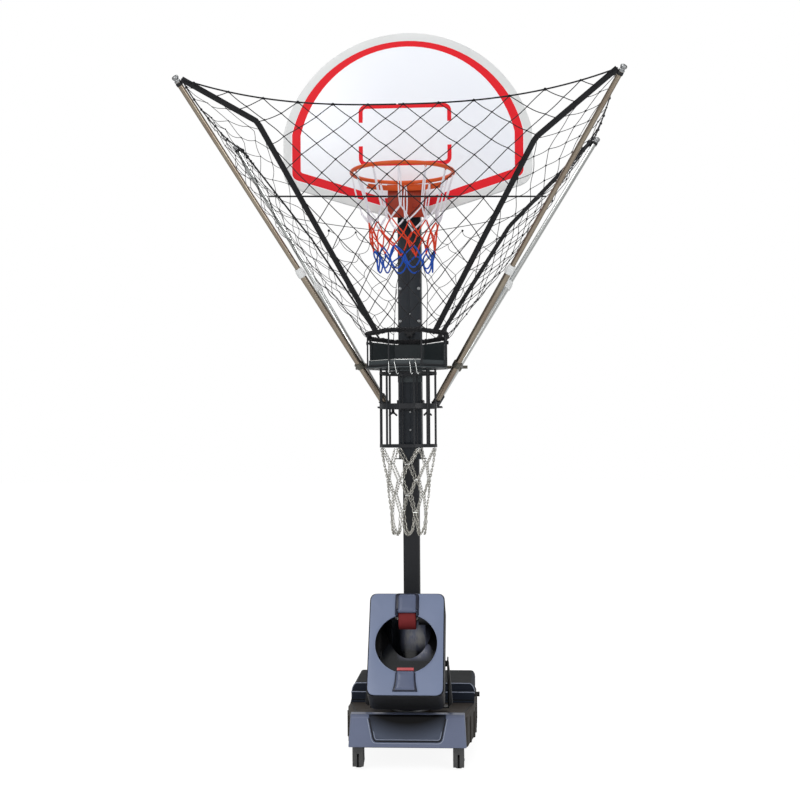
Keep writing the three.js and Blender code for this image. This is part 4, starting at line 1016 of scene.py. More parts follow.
print("the front seam has", len(knot_rows(QUARTERS[0].middle, 1.0)), "rows of knots")

# %% [markdown]
# One function draws a panel, with its knots first and then the two bars that run down from each knot. A bar
# that crosses the seam belongs to both quarters, and each draws its own part of it.

# %% Panels of netting
def knotted(names, on_flank, shift, loose, radius, knot, top=1.0):
    """Draws one panel of netting into the shapes of its two quarters, which meet at a seam."""
    pair = [next(q for q in QUARTERS if q.arm.name == name) for name in names]
    rows = knot_rows(pair[0].flank if on_flank else pair[0].middle, top)
    knots = {}
    for j, v in enumerate(rows):
        free = loose if j else 0
        for i in range(-12, 13):
            if (i + j) % 2 == 0:
                knots[i, j] = (shift + i * half_diamond(v) + random.uniform(-free, free),
                               v + random.uniform(-free, free) * 0.0006,
                               Vector([random.uniform(-free, free) * 0.6 for _ in range(3)]))
    for (i, j), (x, v, shake) in knots.items():
        for quarter in pair:
            spot = quarter.spread(on_flank, x * (quarter.way if on_flank else quarter.side), min(v, 1))
            if spot:
                size = random.uniform(0.8, 1.15) * (knot if j else 6.8)
                netting[quarter.arm.name].ball(spot + shake, size, 6)
        for beside in (i - 1, i + 1):
            if (beside, j + 1) not in knots:
                continue
            far_x, far_v, far_shake = knots[beside, j + 1]
            bow = Vector([random.uniform(*span) for span in ((-1, 1), (-1, 1), (-1.2, 0.2))]) * loose * 0.8
            # the crossing of the seam is one of the steps, so that both quarters reach it
            steps = sorted([k / 24 for k in range(25)] + ([x / (x - far_x)] if x * far_x < 0 else []))
            for quarter in pair:
                side, path = quarter.way if on_flank else quarter.side, []
                for t in steps:
                    spot = quarter.spread(on_flank, mix(x, far_x, t) * side, mix(v, far_v, t))
                    if spot:
                        path.append(spot + mix(shake, far_shake, t) + bow * math.sin(math.pi * t))
                if len(path) > 2:
                    netting[quarter.arm.name].tube(path[:-1:4] + path[-1:], radius, 5)


netting = {arm.name: Shapes() for arm in ARMS}
print("the panels are drawn into", list(netting))

# %% [markdown]
# The front panel is taut, with thick cord and small knots that stand in line. The rear one is thin and
# slack, and it ends a little over halfway up.

# %% Netting
REAR_EDGE = 0.56
random.seed(11)
knotted(("fl", "fr"), False, 26, 3, 2.2, 4.6)
knotted(("rl", "rr"), False, -20, 18, 1.5, 2.6, REAR_EDGE)
knotted(("fl", "rl"), True, 15, 12, 1.4, 3.4)
knotted(("fr", "rr"), True, -12, 4, 1.6, 4.8)
for arm in ARMS:
    made = piece(f"netting_{arm.name}", netting[arm.name], None, NET_CORD, [f"net_{arm.name}"],
                 smooth=60)
    slacken(made, arm)
print("netting:", {name: len(shapes.faces) for name, shapes in netting.items()}, "faces")

# %% [markdown]
# A rope runs round the top, thin cords close the seams, and flat webbing straps carry the load from the
# tips to the ring. The straps hang outside the netting's own knots, and the front ones are the widest.

# %% Ropes and straps
def line_on(quarter, u0, v0, u1, v1, steps=30):
    return [quarter.at(mix(u0, u1, i / steps), mix(v0, v1, i / steps)) for i in range(steps + 1)]


STRAP_WIDTHS = {"fl": 26, "fr": 26, "rl": 9, "rr": 21}
# a rear corner is knotted to its tip: the lumps' places on the strap and their radii in a knot of full size
LUMPS = ((0.985, 15), (0.95, 13), (0.925, 10))
KNOT_SIZE = {"rl": 0.7, "rr": 1}
for quarter in QUARTERS:
    arm = quarter.arm
    ropes = Shapes()
    if arm.front:
        ropes.tube(line_on(quarter, 0, 1, 0.5, 1), 3.6, 8)
    else:
        ropes.tube(line_on(quarter, 0, REAR_EDGE, 0.5, REAR_EDGE + 0.05), 1.8, 6)
    ropes.tube(line_on(quarter, 0.5, 1, 1, 1), 3.2, 8)
    ropes.tube(line_on(quarter, 0, 0, 1, 0, 24), 3.0, 8)
    if not arm.front:
        ropes.tube(line_on(quarter, 0, 0, 0, REAR_EDGE), 1.6, 6)
        for v, size in LUMPS:
            ropes.ball(quarter.strap(v), size * KNOT_SIZE[arm.name], 12, 1.2)
    half = STRAP_WIDTHS[arm.name] / 2
    path = [quarter.strap(i / 50) for i in range(51)]
    flat = [(-half, -1.3), (half, -1.3), (half, 1.3), (-half, 1.3)]
    strap = Shapes().sweep(path, flat, side=(arm.side * 0.9, 0, -0.45))
    made = piece(f"strap_{arm.name}", strap, None, WEBBING, bevel=0.6, steps=1)
    slacken(made, arm)
    slacken(piece(f"top_rope_{arm.name}", ropes, None, NET_CORD, smooth=60), arm)
print("straps:", STRAP_WIDTHS, "mm wide")

# %% [markdown]
# ## The cross cord
# One straight cord crosses the whole front, tied to the netting at every bar it meets. It looks straight
# from the front, so its points are found on the net's surface where they fall on one level line of the
# picture.

# %% Cross cord
CROSS_LEVEL = 196.4
CROSS_ENDS = {"fl": 269.5, "fr": 545.0}


def on_level(quarter, u):
    low, high = 0.3, 0.95
    for _ in range(24):
        v = (low + high) / 2
        if picture(at(*quarter.at(u, v)))[1] > CROSS_LEVEL:
            low = v
        else:
            high = v
    return quarter.at(u, v)


for quarter in QUARTERS[:2]:
    arm = quarter.arm
    path = []
    for i in range(61):
        path.append(on_level(quarter, i / 60 * 0.98))
        if (picture(at(*path[-1]))[0] - CROSS_ENDS[arm.name]) * arm.side > 0:
            break
    made = piece(f"cross_cord_{arm.name}", Shapes().tube(path, 4, 8), None, NET_CORD, smooth=60)
    slacken(made, arm)
    print("cross cord", arm.name, "ends in the picture at", [round(c, 1) for c in picture(at(*path[-1]))])

# %% [markdown]
# ## Helpers for moulded and folded parts
# A moulding is easiest to describe as outlines at successive depths, joined like the frames of a boat.
# Steelwork whose form is already right in the CAD model is copied from its node instead, with its edges
# rounded.

# %% Lofts and corners
def loft(shapes, loops):
    """Joins outlines with as many points each, and closes both ends."""
    return shapes.join([Vector(p) for loop in loops for p in loop], len(loops[0]))


def soft_corners(points, radius, steps=5):
    """The closed outline with each corner rounded. radius is one number, or one for each corner."""
    rounded = []
    for i, corner in enumerate(points):
        p, before, after = Vector(corner), Vector(points[i - 1]), Vector(points[(i + 1) % len(points)])
        r = radius[i] if isinstance(radius, (list, tuple)) else radius
        start = p + (before - p).normalized() * min(r, (before - p).length * 0.45)
        end = p + (after - p).normalized() * min(r, (after - p).length * 0.45)
        turn = [k / steps for k in range(steps + 1)] if r else [0]
        rounded += [tuple(mix(mix(start, p, t), mix(p, end, t), t)) for t in turn]
    return rounded


def rectangle(half_a, low, high, radius, steps=5):
    return soft_corners([(-half_a, low), (half_a, low), (half_a, high), (-half_a, high)], radius, steps)


print("a rectangle with round corners has", len(rectangle(20, -20, 20, 5)), "points")

# %% [markdown]
# An outline is drawn once and then changed: shrunk for the inside of a tube, mirrored for a wheel, or given
# more points where a long side has to bend. A plate also has to know which way it lies, so two short
# functions place an outline that is drawn from above or from the side.

# %% Outlines
def shrunk(outline, share):
    return [(a * share, b * share) for a, b in outline]


def both_sides(half):
    """A profile and its mirror image. A point at height 0 isn't doubled."""
    return half + [(r, -h) for r, h in half[::-1] if h]


def upright(x, y, z):
    """Places an outline that is drawn from above."""
    return x, y, z


def from_side(x=0):
    """Places an outline that is drawn from the side, with depths counted from x."""
    return lambda a, b, d: (x + d, a, b)


def filled_in(outline, step):
    """The outline with extra points, so that no side is longer than step."""
    dense = []
    for a, b in zip(outline, outline[1:] + outline[:1]):
        count = max(1, math.ceil(math.dist(a, b) / step))
        dense += [(mix(a[0], b[0], k / count), mix(a[1], b[1], k / count)) for k in range(count)]
    return dense


print("with no side longer than 5 mm it has", len(filled_in(rectangle(20, -20, 20, 5), 5)))

# %% [markdown]
# A copy takes the node's mesh, merges the triangles of each flat face and rounds the edges that are left.
# Frames, brackets, motors and pads hardly show, so for them this is enough.

# %% Rounded copies
BODY_OF = {node: body for body, nodes in frame["record"]["behaviour"]["bodies"].items() for node in nodes}


def rounded_copy(node, finish, width, steps=2, smooth=35):
    """A piece with the node's own form: flat faces are merged again and the edges rounded."""
    source = frame["nodes"][node]
    bm = bmesh.new()
    bm.from_mesh(source.data)
    bm.transform(source.matrix_world)
    bmesh.ops.remove_doubles(bm, verts=bm.verts, dist=0.01 * MM)
    bmesh.ops.dissolve_limit(bm, angle_limit=math.radians(0.5), verts=bm.verts, edges=bm.edges)
    bevel_edges(bm, width, steps)
    obj = bpy.data.objects.new(node + "_rounded", settled(bm, node + "_rounded", smooth))
    scene.collection.objects.link(obj)
    return dress(obj, BODY_OF[node], finish, [node])


PLAIN_COPIES = {
    "board_frame": (BLACK_COAT, 2), "cage_shelf": (GREY_SHEET, 0.8), "arm_foot_bracket": (BLACK_COAT, 1.2),
    "stay_bar": (OLD_STEEL, 1), "mast_socket": (BLACK_COAT, 3), "chassis": (BLACK_COAT, 1.5),
    "battery": (TRIM, 5), "control_box": (PALE, 4), "yaw_motor": (ZINC, 1.5), "bearing_ring": (ZINC, 1),
    "turntable": (BLACK_COAT, 2), "head_yoke": (BLACK_COAT, 1.5), "rear_bracket_left": (BLACK_COAT, 1),
    "rear_bracket_right": (BLACK_COAT, 1), "wheel_motor_upper": (TRIM, 1.5), "wheel_motor_lower": (TRIM, 1.5),
    "slide_pad_lower": (NYLON, 0.8), "slide_pad_upper": (NYLON, 0.8),
}
for node, (finish, width) in PLAIN_COPIES.items():
    rounded_copy(node, finish, width)
# the sockets of the front arms are low, so that the sleeves show down to the cage
carve(bpy.data.objects["arm_foot_bracket_rounded"],
      [Shapes().box(*sorted((side * 84, side * 200)), -140, -40, 1719, 1790) for side in (-1, 1)])
print(len(PLAIN_COPIES), "steel and plastic pieces keep the form of their node")

# %% [markdown]
# ## Mast and hoop post
# The post is a bigger square tube round the mast, and it carries the whole hoop. It is folded from sheet,
# so its corners are round and a seam runs down the front. Bolts hold the brackets, and a star knob locks
# the height.

# %% Post and mast
POST_LOW, POST_TOP = 1435, 2900
seam = [(-57.5, -57.5), (-2.2, -57.5), (-1.2, -56), (1.2, -56), (2.2, -57.5), (57.5, -57.5), (57.5, 57.5),
        (-57.5, 57.5)]
outside = soft_corners(seam, [8, 0, 0, 0, 0, 8, 8, 8])
post = band(Shapes(), outside, shrunk(outside, 0.91), upright, POST_LOW, POST_TOP)
post.plate(shrunk(outside, 0.92), upright, POST_TOP - 6, POST_TOP - 0.5)
for side in (-1, 1):
    post.box(*sorted((side * 56, side * 76)), -30, 30, POST_LOW + 0.5, POST_LOW + 5)
piece("post_tube", post, "hoop", POST_COAT, ["hoop_post"], bevel=0.8, steps=2)
square = rectangle(40, -40, 40, 7)
mast = band(Shapes(), square, shrunk(square, 0.9), upright, 120.5, 2550)
piece("mast_tube", mast, "base", BLACK_COAT, ["mast"], bevel=0.6, steps=1)
print("the post is", POST_TOP - POST_LOW, "mm long")

# %% [markdown]
# Bolt heads are turned from one profile, and those on the middle line are smaller. The knob's star is a
# circle whose radius swells six times on the way round.

# %% Bolts and height knob
bolts = Shapes()
CAP_HEAD = [(0, 0), (8, 0), (8, 3.6), (6.6, 5.2), (3.4, 5.2), (3.4, 2.4), (0, 2.4)]
for x, z in [(s * 46, z) for s in (-1, 1) for z in (1951, 2118, 2280)] + [(0, 1580), (0, 1669), (0, 2154)]:
    size = 1 if x else 0.72
    bolts.turned([(r * size, h) for r, h in CAP_HEAD], (x, -57.5, z), (0, -1, 0), 20)
piece("post_bolts", bolts, "hoop", ZINC, smooth=50)

swell = [(21.5 + 5 * math.cos(6 * a), a) for a in [math.tau * k / 72 for k in range(72)]]
star = [(reach * math.cos(a), reach * math.sin(a)) for reach, a in swell]
knob = Shapes().plate(star, lambda x, z, y: (x, y, 2060 + z), -81.5, -66)
knob.turned([(0, 0), (12, 0), (14, 8.5), (0, 8.5)], (0, -58, 2060), (0, -1, 0), 24)
knob.turned([(0, 0), (5.9, 0), (5.9, 17), (0, 17)], (0, -41, 2060), (0, -1, 0), 24)
piece("height_knob", knob, "lock_knob", TRIM, ["lock_knob"], bevel=2.2)
print("the knob's star has", len(star), "points")

# %% [markdown]
# ## The net ring and the basket
# An eight-sided hoop of tube gathers the net. The net's foot is lashed to it, so the tube is wound with
# cord all the way round and is lumpy where knots sit. Rods carry a smaller hoop, and a dark sheet closes
# the rear half.

# %% Ring
ROUND = RING["across"] / 2 / math.cos(math.pi / RING["sides"])


def ring_corner(i, reach=0, z=None):
    a = (i + 0.5) * math.tau / RING["sides"]
    x, y = math.cos(a) * (ROUND + reach), math.sin(a) * (ROUND + reach)
    return Vector((x, RING["y"] + y, RING["z"] - y * RING["tilt"] if z is None else z))


def ring_path(reach, z, count):
    """count points along each side of the ring, corners softened."""
    corners = [ring_corner(i, reach, z) for i in range(RING["sides"])]
    path = []
    for i, corner in enumerate(corners):
        after = corners[(i + 1) % len(corners)]
        path += [mix(corner, after, 0.04 + 0.92 * k / (count - 1)) for k in range(count)]
    return path


ring = Shapes().tube(ring_path(0, None, 8), 7.6, 12, True).tube(ring_path(0, 1881, 8), 5, 10, True)
for i in range(RING["sides"]):
    ring.tube([ring_corner(i, 0, 1881), ring_corner(i)], 4, 10)
for side in (-1, 1):
    ring.box(*sorted((side * 178, side * 184)), RING["y"] - 9, RING["y"] + 9, 1988, 2030)
    stud = [(0, 0), (5, 0), (5, 5), (9, 6), (9, 13), (7.5, 14), (0, 14)]
    ring.turned(stud, (side * 184, RING["y"], 1996), (side, 0, 0), 20)
piece("ring_frame", ring, "hoop", BLACK_COAT, ["net_ring"], bevel=0.4, steps=1)
print("the ring's corners are", round(ROUND), "mm from its middle")

# %% [markdown]
# The lashing is one long tube that screws round the ring, with a reach that changes at every step. Balls of
# different sizes stand for its knots.

# %% Lashing
random.seed(23)
core = ring_path(0, None, 90)
wound = []
for k in range(len(core) * 2):
    place = mix(core[k // 2], core[(k // 2 + 1) % len(core)], k % 2 / 2)
    out = (place - Vector((0, RING["y"], place.z))).normalized()
    a = k * 1.17
    wound.append(place + (out * math.cos(a) + Vector((0, 0, 1)) * math.sin(a)) * random.uniform(9, 11.5))
lashing = Shapes().tube(wound, 2.2, 5, True)
for i in range(44):
    spot = core[(i * 163 + random.randrange(9)) % len(core)]
    spot = spot + Vector([random.uniform(-span, span) for span in (3, 3, 7)])
    lashing.ball(spot, random.uniform(6, 10), 10, random.uniform(0.8, 1.2))
piece("ring_lashing", lashing, "hoop", NET_CORD, smooth=60)
print("the lashing winds", round(len(wound) * 1.17 / math.tau), "times round the ring's tube")

# %% [markdown]
# The dark sheet follows the inside of the ring round its rear half, and its top edge dips in the middle.

# %% Basket sheet
ring_side = RING["across"] / 2 - 8.3
wall = []
for k in range(65):
    a = math.pi * k / 64
    local = (a + math.pi / 8) % (math.pi / 4) - math.pi / 8
    reach = ring_side / math.cos(local)
    top = 2007 - 7 * math.sin(a) ** 2
    wall.append([(math.cos(a) * (reach - t), RING["y"] + math.sin(a) * (reach - t), z)
                 for t, z in ((3, 1876.5), (0, 1876.5), (0, top), (3, top))])
piece("basket_sheet", loft(Shapes(), wall), "hoop", DARK_SHEET, ["basket_panel"])
print("the basket's sheet is", wall[0][2][2] - wall[0][1][2], "mm tall at its ends")

# %% [markdown]
# Four wire hooks hang from the front of the shelf under the basket. They are plated, so they stand out
# against the dark edge.

# %% Shelf hooks
hooks = Shapes()
for x, lean in ((-76, 0), (-50, 10), (22, 5), (48, 8)):
    line = [(x, -438, 1901), (x, -443, 1893), (x + lean * 0.3, -444, 1881), (x + lean, -443, 1845),
            (x + lean + 5, -443, 1838), (x + lean + 9, -443, 1844)]
    hooks.tube(line, 2, 8)
piece("shelf_hooks", hooks, "hoop", CHROME, smooth=60)
print("shelf hooks:", len(hooks.faces), "faces")

# %% [markdown]
# The shelf's front edge is bent up into a grey band, and a bright bead is clipped on its top. Both follow
# the corners of the ring.

# %% Shelf edge
edge = [ring_corner(i, -7, 1890) for i in range(4, 8)]
fascia = Shapes().sweep(edge, rectangle(16, -0.8, 0.8, 0.3, 2), side=(0, 0, 1))
piece("shelf_fascia", fascia, "hoop", GREY_SHEET)
bead = Shapes().tube([p + Vector((0, 0, 17.5)) for p in edge[:3]], 1.8, 8)
piece("shelf_bead", bead, "hoop", CHROME, smooth=60)
print("the shelf's edge turns at x", [round(p.x) for p in edge])

# %% [markdown]
# ## The ball cage
# Twelve rods between three flat hoops keep the ball over the head. The hoops are bent from flat bar, and
# two short blocks hold them off the post.

# %% Cage
CAGE = {"reach": 136, "y": -212, "hoops": ((1503, 8), (1693, 12), (1851, 6.5))}
cage = Shapes()
for z, half in CAGE["hoops"]:
    cage.turned(pipe(133.4, 138.6, z - half, z + half), (0, CAGE["y"], 0), sides=72, closed=True)
for k in range(12):
    a = (k + 0.5) * math.tau / 12
    x, y = math.cos(a) * CAGE["reach"], CAGE["y"] + math.sin(a) * CAGE["reach"]
    cage.tube([(x, y, 1498), (x, y, 1871)], 5.4 if k % 3 == 1 else 4, 12)
for z in (1503, 1693):
    cage.box(-12, 12, CAGE["y"] + 133.5, -58, z - 6, z + 6)
piece("cage_bars", cage, "hoop", BLACK_COAT, ["ball_cage"], bevel=0.8, steps=1)
print("the cage is", 2 * CAGE["reach"], "mm wide")

# %% [markdown]
# Wing bolts clamp the sleeves in the foot bracket, so that an arm can be taken out without a tool.

# %% Wing bolts
wings = Shapes()
for side in (-1, 1):
    for y in (-62, -30):
        stem = [(0, 0), (6, 0), (6, 18), (9, 19), (9, 27), (0, 28)]
        wings.turned(stem, (side * 86, y, 1687.5), (0, 0, -1), 16)
        for s in (-1, 1):
            wings.tube([(side * 86 + s * out, y, z) for out, z in ((6, 1664), (14, 1657), (19, 1651))], 4, 10)
piece("wing_bolts", wings, "hoop", TRIM, bevel=0.5, steps=1)
print("wing bolts:", len(wings.faces), "faces")

# %% [markdown]
# ## The chain net
# Under the cage hangs a net of real chain. A link is a round bar bent to a long oval, and each one is
# turned a quarter against the last. Neighbouring chains are joined by a bright clip, and the ends hang in
# loops.

# %% Links
CHAIN = {"columns": 8, "levels": (1489, 1415, 1341, 1268, 1186, 1079),
         "shares": (1, 0.87, 0.78, 0.71, 0.65, 0.54), "pitch": 13.5, "bar": 1.45}


def link(shapes, centre, along, across):
    """A chain link: two half rounds and two straights, 20 by 10 mm outside."""
    path = []
    for k in range(12):
        a = math.tau * (k + 0.5) / 12
        stretch = 5.2 if math.cos(a) > 0 else -5.2
        path.append(centre + along * (math.cos(a) * 3.6 + stretch) + across * math.sin(a) * 3.9)
    shapes.tube(path, CHAIN["bar"], 6, True)


def chain_knot(column, row):
    a = (column + (row + 1) % 2 / 2) * math.tau / CHAIN["columns"] - math.pi / 2
    reach = CAGE["reach"] * CHAIN["shares"][row]
    return Vector((math.cos(a) * reach, CAGE["y"] + math.sin(a) * reach, CHAIN["levels"][row])), a


def chain_path(start, end, count, hanging):
    """count + 1 points from start to end, straight or along a quarter of an oval."""
    if not hanging:
        return [mix(start, end, k / count) for k in range(count + 1)]
    turns = [k / count * math.pi / 2 for k in range(count + 1)]
    return [Vector((*mix(start, end, 1 - math.cos(a)).xy, mix(start.z, end.z, math.sin(a)))) for a in turns]


print("the chain net is", CHAIN["levels"][0] - CHAIN["levels"][-1], "mm long")

# %% [markdown]
# Every chain runs from a clip down to the next, and the lowest ones hang in loops. A link's flat side faces
# along the net or out of it by turns.

# %% Chains and clips
chain, clips = Shapes(), Shapes()
for row in range(5):
    for column in range(CHAIN["columns"]):
        for step in ((0, 1) if row % 2 == 0 else (-1, 0)):
            top, a = chain_knot(column, row)
            foot, b = chain_knot((column + step) % CHAIN["columns"], row + 1)
            turn = 1 if (b - a + math.pi) % math.tau > math.pi else -1
            aside = Vector((-math.sin(a), math.cos(a), 0)) * turn * 7
            aside_foot = Vector((-math.sin(b), math.cos(b), 0)) * -turn * 7
            start = top + aside
            end = foot + (aside_foot if row < 4 else Vector())
            count = max(2, round((end - start).length / CHAIN["pitch"]))
            path = chain_path(start, end, count, row == 4)
            for k in range(count):
                along = (path[k + 1] - path[k]).normalized()
                flat = along.cross(Vector((math.cos(a), math.sin(a), 0))).normalized()
                link(chain, (path[k] + path[k + 1]) / 2, along, flat if k % 2 else along.cross(flat))
        spot, a = chain_knot(column, row)
        sidewise = Vector((-math.sin(a), math.cos(a), 0))
        if row:
            clips.tube([spot - sidewise * 10, spot + Vector((0, 0, 1.5)), spot + sidewise * 10], 3, 8)
        else:
            bent = ((14, 0), (2, 5), (-4, 2), (2, -5))
            clips.tube([spot + Vector((0, 0, up)) + sidewise * out for up, out in bent], 1.8, 8)
piece("chain_links", chain, "hoop", CHAIN_STEEL, ["chain_net"], smooth=60)
piece("chain_clips", clips, "hoop", CHROME, smooth=60)
print("chain:", len(chain.faces) // 72, "links")

# %% [markdown]
# ## The base
# The lower tub is a deep moulded tray, open underneath, with upright ribs along both sides. Its walls are
# one loft: up the inside, out under the foot and up the outside to the rounded edge of the deck.

# %% Tub
TUB_BOX = {"half": 310, "half_front": 279, "front": -398, "rear": 430, "corner": 60}
# (inset, height) up the inside of the wall, under its foot and up its outside
TUB_WALL = [(5, 235), (5, 101), (4.2, 100), (0.8, 100), (0, 101.5), (0, 226), (0.8, 231), (3, 235.5),
            (6.5, 238.8), (11, 240)]


def narrowing(y):
    """The tub's width at y as a share of its greatest: it narrows towards the bumper."""
    return mix(TUB_BOX["half_front"] / TUB_BOX["half"], 1, ease(y, TUB_BOX["front"] + 20, -70))


def tub_outline(inset, z):
    t = TUB_BOX
    middle, half_y = (t["front"] + t["rear"]) / 2, (t["rear"] - t["front"]) / 2
    flat = rectangle(t["half"] - inset, -half_y + inset, half_y - inset, t["corner"] - inset * 0.6, 7)
    return [(x * narrowing(y + middle), y + middle, z) for x, y in filled_in(flat, 24)]


def mast_hole(low, high):
    return Shapes().box(-52.3, 52.3, -52.3, 52.3, low, high)


tub = loft(Shapes(), [tub_outline(inset, z) for inset, z in TUB_WALL])
for k in range(6):
    y = TUB_BOX["front"] + 120 + k * 108
    for side in (-1, 1):
        rib = soft_corners([(y, 100), (y + 22, 100), (y + 22, 224), (y, 224)], [0, 0, 7, 7], 3)
        tub.plate(rib, lambda a, b, d: (d * narrowing(a), a, b), side * 307, side * 315)
tub_piece = piece("tub_shell", tub, "base", TUB, ["base_tub"], bevel=0.8, steps=2)
carve(tub_piece, [mast_hole(200, 260), Shapes().turned(pipe(0, 10.5, 200, 260), (0, -190, 0), sides=24)])
print("the tub narrows to", 2 * TUB_BOX["half_front"], "mm behind the bumper")

# %% [markdown]
# A dark seam runs back along each side of the deck. The chassis plate inside was copied from its node, so
# it is drawn in to follow the tub.

# %% Deck seams
deck_seams = Shapes()
for side in (-1, 1):
    line = [(side * x, y, 240.3) for x, y in ((206, -372), (250, -300), (296, -80), (303, -48))]
    deck_seams.sweep(line, rectangle(3.2, -0.6, 0.6, 0.2, 2), side=(1, 0, 0))
piece("deck_seams", deck_seams, "base", TRIM)
for corner in bpy.data.objects["chassis_rounded"].data.vertices:
    corner.co.x *= narrowing(corner.co.y / MM - MAST_Y)
print("deck seams:", len(deck_seams.faces), "faces")

# %% [markdown]
# The cover stands on the rear of the tub. Seen from the front it is two shoulders with two steps, and its
# outline is carried across the machine and drops over each side in a round.

# %% Form of the cover
COVER_BOX = {"half": 304, "front": -45, "rear": 430, "top": 326, "low": 240.3, "steps": (250, 287), "run": 30,
             "round_over": 30, "drop": 44}
STATIONS = range(-11, 12)


def cover_profile(inset):
    """The cover seen from the side, as points (y, z): up over its two steps, back and down the rear."""
    c = COVER_BOX
    front, rear, top = c["front"] + inset, c["rear"] - inset, c["top"] - inset
    low, high = [step - inset for step in c["steps"]]
    first, second = front + c["run"], front + 2 * c["run"]
    line = [(front, c["low"]), (front, low), (first, low), (first, high), (second, high), (second, top),
            (rear, top), (rear, c["low"])]
    return filled_in(soft_corners(line, [0, 7, 5, 6, 5, 9, 70, 0], 6), 25)


def over_end(k, reach, top):
    """How far aside station k of the cover stands, and the height of its lid there."""
    turn = max(0, abs(k) - 2) / 9 * math.pi / 2
    aside = reach - COVER_BOX["round_over"] * (1 - math.sin(turn))
    return math.copysign(aside, k) if k else 0, top - COVER_BOX["drop"] * (1 - math.cos(turn))


def cover_loft(inset, foot):
    loops, low = [], COVER_BOX["low"]
    for k in STATIONS:
        x, lid = over_end(k, COVER_BOX["half"] - inset, COVER_BOX["top"] - inset)
        if abs(k) == 1:
            # one loop just inside each round keeps the lid between them flat to the light
            x -= math.copysign(8, k)
        loops.append([(x, y, min(max(z, low - foot), lid) if z > low + 1 else z - foot)
                      for y, z in cover_profile(inset)])
    return loft(Shapes(), loops)


print("the cover's steps are", COVER_BOX["steps"], "mm above the floor")

# %% [markdown]
# The shell is hollowed by the same form, drawn in by the wall. A pale bead along the edge of each upper
# step is a painted highlight, where its rounded edge catches the light.

# %% Cover
def cover_edge(y, z):
    """Points along an edge of the cover's front, over both rounds at its ends."""
    ends = [over_end(k, COVER_BOX["half"], COVER_BOX["top"] - 1) for k in STATIONS]
    return [(x, y, min(z, lid)) for x, lid in ends]


# pale tubes along the step edges are painted highlights on the rounded edges
cover_beads = Shapes()
for step, z in ((1, COVER_BOX["steps"][1] - 1.5), (2, COVER_BOX["top"] - 2.5)):
    cover_beads.tube(cover_edge(COVER_BOX["front"] + step * COVER_BOX["run"] + 1.6, z), 2.5, 8)
piece("cover_beads", cover_beads, "base", HIGHLIGHT_BEAD, smooth=60)
cover = piece("cover_shell", cover_loft(0, 0), "base", COVER, ["base_cover"], smooth=40)
carve(cover, [cover_loft(5, 4), mast_hole(300, 400)])
print("the cover is", 2 * COVER_BOX["half"], "mm wide")

# %% [markdown]
# The bumper is one moulding with a shallow recess that widens upwards, and a groove along the recess's side
# and sill. Its front is a sheet of points: each is pushed in by how deep the recess is there.

# %% Front of the bumper
BUMP = {"half": 273, "half_top": 263, "low": 117, "high": 265, "back": -398.3, "nose": -470.3, "lean": 12,
        "depth": 12, "round": 16, "recess_low": (160, 139), "recess_high": (182, 262), "corner": 22}
(half_low, z_low), (half_high, z_high) = BUMP["recess_low"], BUMP["recess_high"]


def bumper_front(x, z):
    """How far back the front lies at (x, z): its lean, the recess, and the groove round the recess."""
    rise = (z - BUMP["low"]) / (BUMP["high"] - BUMP["low"])
    from_end, from_sill = mix(half_low, half_high, (z - z_low) / (z_high - z_low)) - abs(x), z - z_low
    inside, r = min(from_end, from_sill * 0.9), BUMP["corner"]
    if min(from_end, from_sill) < r:
        inside = r - math.hypot(max(r - from_end, 0), max(r - from_sill, 0))
    recess = BUMP["depth"] * ease(inside, -3, 9) + 6 * math.exp(-(((inside - 7) / 3) ** 2))
    return BUMP["nose"] + BUMP["lean"] * rise + recess


def over_top(angle):
    """How far back and up the bumper's top edge has turned."""
    r = BUMP["round"]
    return r * (1 - math.cos(angle)) + 4 * math.sin(angle), r * math.sin(angle)


print("the recess is", round(bumper_front(0, 200) - bumper_front(260, 200)), "mm deep")

# %% [markdown]
# The whole bumper is one loft across the machine. Its outlines stand closer together where the recess
# begins and where the ends turn back.

# %% Bumper
def bumper_loop(share):
    """The outline at a share of the half width: up the front, over the top and down the back."""
    loop = []
    end = 9 * (1 - math.sqrt(1 - min(max((abs(share) - 0.965) / 0.035, 0), 1) ** 2))
    for k in range(57):
        z = mix(BUMP["low"] + 3, BUMP["high"] - BUMP["round"], k / 56)
        half = mix(BUMP["half"], BUMP["half_top"], (z - BUMP["low"]) / (BUMP["high"] - BUMP["low"]))
        loop.append((share * half, bumper_front(share * half, z) + end, z))
    (x, y, z), (foot_x, foot_y, _) = loop[-1], loop[0]
    for back, rise in [over_top(math.pi / 16 * i) for i in range(1, 9)]:
        loop.append((x, y + back, z + rise))
    return loop + [(x, BUMP["back"], BUMP["high"]), (x * 1.02, BUMP["back"], BUMP["low"]),
                   (foot_x, foot_y + 4, BUMP["low"])]


shares = [k / 60 for k in range(-60, 61)]
for side in (-1, 1):
    shares += [side * (0.57 + k * 0.0065) for k in range(20)] + [side * (0.965 + k * 0.005) for k in range(8)]
bumper = loft(Shapes(), [bumper_loop(share) for share in sorted({round(share, 4) for share in shares})])
piece("bumper_shell", bumper, "base", BUMPER, ["front_bumper"], smooth=50)
print("bumper:", len(bumper.faces), "faces")

# %% [markdown]
# The recess has an inlay of its own, nearly black at its top as painted shade under the top edge, and
# blue-grey towards the sill. A black gasket runs down its sides and along the sill as painted shade in the
# groove, with a bright bead on either side of it as a painted highlight on the groove's edges.

